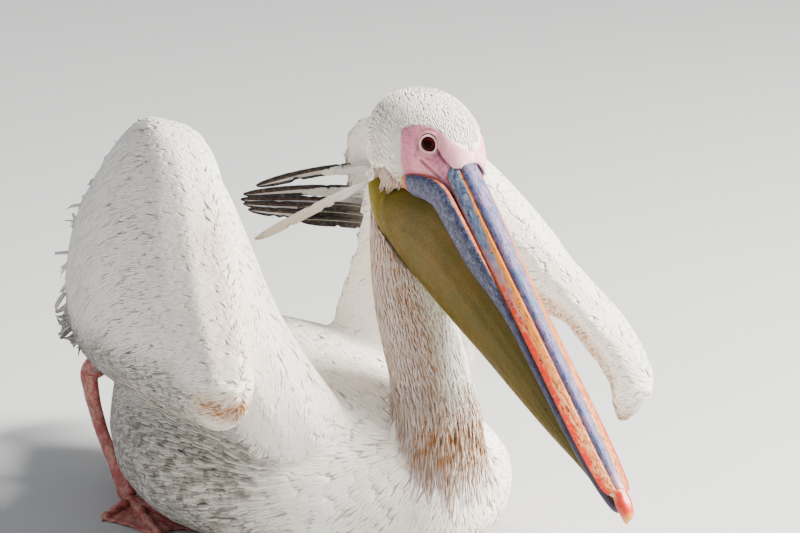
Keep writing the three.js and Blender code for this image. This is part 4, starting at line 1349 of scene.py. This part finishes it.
def blade(root, tip, across, lift, width, bow, seed):
    """One big feather: a shaft with a narrow and a wide vane, split here and there."""
    draw = np.random.default_rng(seed)
    x, v = np.array(VANE_COLUMNS), np.linspace(0, 1, 30)
    outline = 0.28 + 0.72 * ease(v, 0.0, 0.22)
    outline = outline * np.sqrt(np.clip(1 - ((v - 0.72) / 0.285) ** 2, 0.0, 1) * (v > 0.72) + (v <= 0.72))
    edge = np.ones((len(v), len(x)))
    for _ in range(5):
        row = draw.integers(6, len(v) - 2)
        column = 0 if draw.random() < 0.4 else len(x) - 1
        edge[row, column] *= draw.uniform(0.4, 0.75)
    run = unit(tip - root)
    across = tangential(across[None], run[None])[0]
    over = np.cross(run, across)
    over = over * np.sign(over @ lift)
    x, v, outline = x[None], v[:, None], outline[:, None]
    spine = root + v * (tip - root) + (bow * 4 * v * (1 - v) * MM) * over
    sheet = spine[:, None] + (x * edge * outline * width / 2 * MM)[..., None] * across
    camber = -0.16 * width * x ** 2 * outline + 0.5 * (np.abs(x) < 0.01) * (1.2 - v)
    sheet = sheet + (camber * MM)[..., None] * over
    ripple = 0.25 * np.sin(v * 60 + x * 9 + draw.random() * 6)
    sheet = sheet + (ripple * np.abs(x) * MM)[..., None] * over
    under = sheet - over * VANE_THICKNESS * MM
    shares = np.stack(np.broadcast_arrays(np.concatenate([x, x[:, ::-1]], 1) * 0.5 + 0.5, v), -1)
    return lofted(np.concatenate([sheet, under[:, ::-1]], 1), shares)


def feather_row(name, rows, replaced, look):
    """rows are (root, tip, across, lift, width, bow); each feather has its own strip of the bake map."""
    parts = [blade(*row, seed=sum(map(ord, name)) + i) for i, row in enumerate(rows)]
    bake = []
    for i, (_, _, shares) in enumerate(parts):
        strip = (i + 0.05 + 0.9 * np.clip(shares[:, 0], 0, 1)) / len(rows)
        bake.append(np.stack([strip, 0.02 + 0.96 * shares[:, 1]], -1))
    build(name, joined(parts), look, replaced, uv=np.concatenate(bake))


def flight_rows(side, group):
    count, width, curve = FLIGHT[group, side]

    def ends(u):
        """The root and tip of a feather."""
        own = along(curve, u).reshape(2, 3)
        sway = RUMP_LEFT * np.clip((-own[:, 0] - 210) / 100, 0, 1)
        return wing_place(side, own) - ACROSS * sway[:, None] * MM

    made = []
    for u in (np.arange(count) + 0.5) / count:
        root, tip = ends(u)
        (root_before, tip_before), (root_after, tip_after) = ends(max(u - 0.1, 0)), ends(min(u + 0.1, 1))
        across = unit(tip_after - tip_before + root_after - root_before)
        outward = unit(np.cross(tip - root, across))
        outward = outward * np.sign(outward @ (side * ACROSS))
        made.append((root, tip, unit(across + 0.22 * outward), outward, width, BOW[group]))
    return made


def covert_rows(side, group, reach, count):
    """Short white feathers over the roots of a group, on the side of the wing that shows."""
    covers = []
    for root, tip, across, outward, width, _ in flight_rows(side, group):
        for k in range(count):
            lift = outward * side * (2.5 + 1.2 * k) * MM
            aside = across * random.uniform(-3, 3) * MM
            end = root + (tip - root) * reach * (1 - 0.3 * k) * random.uniform(0.85, 1.1)
            covers.append((root + lift + aside, end + lift + aside, across, outward, width * 0.8, 2))
    return covers


def flight_look(name, dark, pale, tip, shaft, two_toned=0.0):
    """A vane that is pale at its root and dark beyond, with fine barbs and a light shaft. Where it
    is two-toned its wide vane stays pale to near the tip."""
    look = Look(name, 0.55, Specular_IOR_Level=0.35)
    across, onward = look.form()
    barbs = ((onward + abs(across - 0.5) * 0.35) * 620.0).math("SINE")
    streak = look.noise(9, detail=4, stretch=(1, 0.3, 1))
    darkened = onward + streak * 0.3 - across.band(0.7, 0.24) * (0.95 * two_toned)
    colour = look.layers(
        pale,
        (darkened.step(0.3 - 0.15 * two_toned, 0.75 - 0.4 * two_toned), dark),
        (onward.step(0.9, 1.0, 0.0, 0.7), tip),
        (look.noise(3).step(0.45, 0.7, 0.0, 0.3 - 0.2 * two_toned), pale),
        (across.band(0.5, 0.04), shaft))
    return look.done(colour, streak.step(0.3, 0.7, 0.45, 0.7), (barbs, 0.12, 0.6))


def tail(look):
    rows = []
    for u in np.arange(12) / 11:
        fan = (u - 0.5) * 2
        root = at(-296, -38 + (u - 0.5) * 66, 122 - 30 * (u - 0.5) ** 2)
        tip = at(-300 - 88 * (1 - 0.12 * fan ** 2), -52 + fan * 70, 112 - 16 * fan ** 2)
        rows.append((root, tip, unit(ACROSS + 0.12 * (1 if fan > 0 else -1) * UP), UP, 20, 3))
    feather_row("tail_feathers", rows, ["tail"], look)


# ---- legs and feet

# From the thigh over the heel to the foot: ahead, out, up and girth.
TARSUS = [(-186, 104, 112, 0.9), (-216, 114, 120, 0.95), (-239, 121, 112, 1.25), (-234, 125, 94, 1),
          (-213, 128, 62, 0.82), (-190, 128, 34, 0.86), (-172, 128, 14, 1.2), (-166, 128, 7, 1)]
TARSUS_RADIUS = 9
TOES = [(118, -26), (136, -3), (126, 20), (62, 58)]      # length, and degrees outward
WEB_TOP, WEB_THICKNESS = 2.6, 1.5
LEG_FLOOR_GAP, FOOT_FLOOR_GAP = 0.5, 0.2


def foot_right(side, out):
    return side * (out - 20) - 10


def foot_look():
    look = Look("foot_skin", 0.5, Specular_IOR_Level=0.4)
    scales = look.spots(3.2)
    colour = look.layers(
        (206, 142, 128),
        (look.noise(12).step(0.4, 0.6), (186, 96, 92)),
        (scales.step(0.45, 0.7, 0.0, 0.5), (136, 74, 66)))
    return look.done(colour, look.worn(4, 0.4, 0.62), (scales, 0.5, 0.7))


def leg(side, name, look):
    rings = []
    for t, (ahead, out, up, girth) in stations(TARSUS, 60):
        forward = np.cross(ACROSS, lead(TARSUS, t, 0.03))
        radius = TARSUS_RADIUS * girth * (1 + 0.02 * math.sin(60 * t))
        ring = egg(at(ahead, foot_right(side, out), up), ACROSS, forward, radius * 0.72, radius, radius, 24)
        ring[:, 2] = np.maximum(ring[:, 2], LEG_FLOOR_GAP * MM)
        rings.append(ring)
    build(f"leg_skin_{name}", lofted(rings), look, [f"leg_{name}"])


def foot(side, name, look):
    """Four toes with knuckles and claws, and the webs between them, flat on the floor."""
    heel = at(-164, foot_right(side, 128), 0)
    parts, aims = [], []
    for length, degrees in TOES:
        angle = math.radians(degrees)
        run = heading(math.cos(angle), side * math.sin(angle), 0)
        aims.append((length, run))
        rings = []
        for t in np.linspace(0, 1, 40):
            radius = (5.4 - 2.4 * t) * (1 + 0.16 * math.cos(t * 22)) * (1 - 0.75 * ease(t, 0.9, 1.0))
            centre = heel + run * length * t * MM + UP * (radius * 0.8 + 0.3) * MM
            rings.append(egg(centre, np.cross(UP, run), UP, radius, radius, radius * 0.8, 14))
        parts.append(lofted(rings))
    for (l1, r1), (l2, r2) in zip(aims, aims[1:]):
        top = []
        for a in np.linspace(0, 1, 15):
            run = unit(r1 * (1 - a) + r2 * a)
            reach = (l1 * (1 - a) + l2 * a) * (0.97 - 0.42 * a * (1 - a) * 2)
            ripple = 0.8 * math.sin(a * 22)
            top.append([heel + run * reach * b * MM + UP * (WEB_TOP + ripple * b) * MM
                        for b in np.linspace(0, 1, 15)])
        top = np.array(top)
        parts.append(lofted(np.concatenate([top, (top - UP * WEB_THICKNESS * MM)[:, ::-1]], 1)))
    shape = joined(parts)
    shape[0][:, 2] = np.maximum(shape[0][:, 2], FOOT_FLOOR_GAP * MM)
    build(f"foot_skin_{name}", shape, look, [f"foot_{name}"])


# ---- the stage

# Soft lights: metres across, up and toward the camera from its aim, size, watts and colour.
LIGHTS = dict(key=(2.3, 2.1, 1.2, 1.2, 430, (1.0, 0.955, 0.885)),
              fill=(-2.6, 0.9, 2.4, 2.6, 16, (0.92, 0.95, 1.0)),
              low=(2.7, 1.7, 0.1, 1.0, 260, (1.0, 0.97, 0.92)))
FLOOR_HALF = 30
SKY, SKY_STRENGTH = (222, 226, 234), 0.55


def stage():
    floor = bpy.data.meshes.new("floor")
    corners = [(-1, -1), (1, -1), (1, 1), (-1, 1)]
    floor.from_pydata([(x * FLOOR_HALF, y * FLOOR_HALF, 0) for x, y in corners], [], [(0, 1, 2, 3)])
    look = Look("floor", 0.9)
    colour = look.layers((196, 198, 199), (look.noise(800, detail=2), (203, 204, 204)))
    floor.materials.append(look.done(colour, None))
    linked("floor", floor)
    world = bpy.data.worlds.new("studio")
    world.use_nodes = True
    background = world.node_tree.nodes["Background"]
    background.inputs["Color"].default_value = linear(SKY)
    background.inputs["Strength"].default_value = SKY_STRENGTH
    bpy.context.scene.world = world


def aimed(name, data, place, direction):
    made = linked(name, data)
    made.location = place
    made.rotation_euler = Vector(direction).to_track_quat("-Z", "Y").to_euler()
    return made


def camera_and_lights():
    s, c = math.sin(CAMERA_AZIMUTH), math.cos(CAMERA_AZIMUTH)
    se, ce = math.sin(CAMERA_RISE), math.cos(CAMERA_RISE)
    across = np.array([c, -s, 0])
    upward = np.array([se * s, se * c, ce])
    toward = np.array([-ce * s, -ce * c, se])
    aim = at(*NECK_FOOT) + (AIM_ASIDE * across + AIM_ABOVE * upward) * MM
    lens = bpy.data.cameras.new("camera")
    lens.lens, lens.clip_end = CAMERA_LENS, 100
    bpy.context.scene.camera = aimed("camera", lens, aim + CAMERA_DISTANCE * toward, -toward)
    for name, (aside, above, near, size, watts, colour) in LIGHTS.items():
        lamp = bpy.data.lights.new(name, "AREA")
        lamp.size, lamp.energy, lamp.color = size, watts, colour
        place = aim + aside * across + above * upward + near * toward
        aimed(name, lamp, place, Vector((0, -0.1, 0.2)) - Vector(place))


# ---- the whole bird

camera_and_lights()
stage()
COAT_LOOK = coat_look()
skin = Skin()
skin.finish()
coat_head(skin)
coat_neck(skin)
coat_trunk(skin)
for side, name in SIDES:
    coat_wing(skin, side, name)
    coat_arm(skin, side, name)

upper_bill()
nail()
lower_bill()
pouch()
for side, name in SIDES:
    eye(side, name)
    eyelids(side, name)

BLACK_VANE, BLACK_TIP = (34, 30, 30), (20, 18, 18)
DARK_LOOK = flight_look("flight_dark", BLACK_VANE, (120, 112, 104), BLACK_TIP, (196, 184, 170))
GREY_LOOK = flight_look("flight_grey", BLACK_VANE, (206, 200, 196), BLACK_TIP, (226, 220, 212))
PALE_LOOK = flight_look("flight_pale", (226, 212, 192), (236, 232, 228), (190, 160, 124), (240, 234, 226))
FAN_LOOK = flight_look("flight_fan", BLACK_VANE, (212, 206, 202), (26, 22, 20), (120, 84, 56), two_toned=1.0)
WHITE_LOOK = flight_look("flight_white", (240, 236, 230), (244, 241, 238), (226, 214, 198), (236, 230, 222))
for side, name in SIDES:
    for group, feathers, look in (("primaries", "primary", DARK_LOOK),
                                  ("secondaries", "secondary", GREY_LOOK if side == RIGHT else FAN_LOOK),
                                  ("tertials", "tertial", PALE_LOOK)):
        feather_row(f"{feathers}_feathers_{name}", flight_rows(side, group),
                    [f"{group}_{name}"], look)
    feather_row(f"covert_feathers_{name}",
                covert_rows(side, "secondaries", 0.5, 3 if side == LEFT else 2), (), WHITE_LOOK)
tail(PALE_LOOK)

FOOT_LOOK = foot_look()
for side, name in SIDES:
    leg(side, name, FOOT_LOOK)
    foot(side, name, FOOT_LOOK)
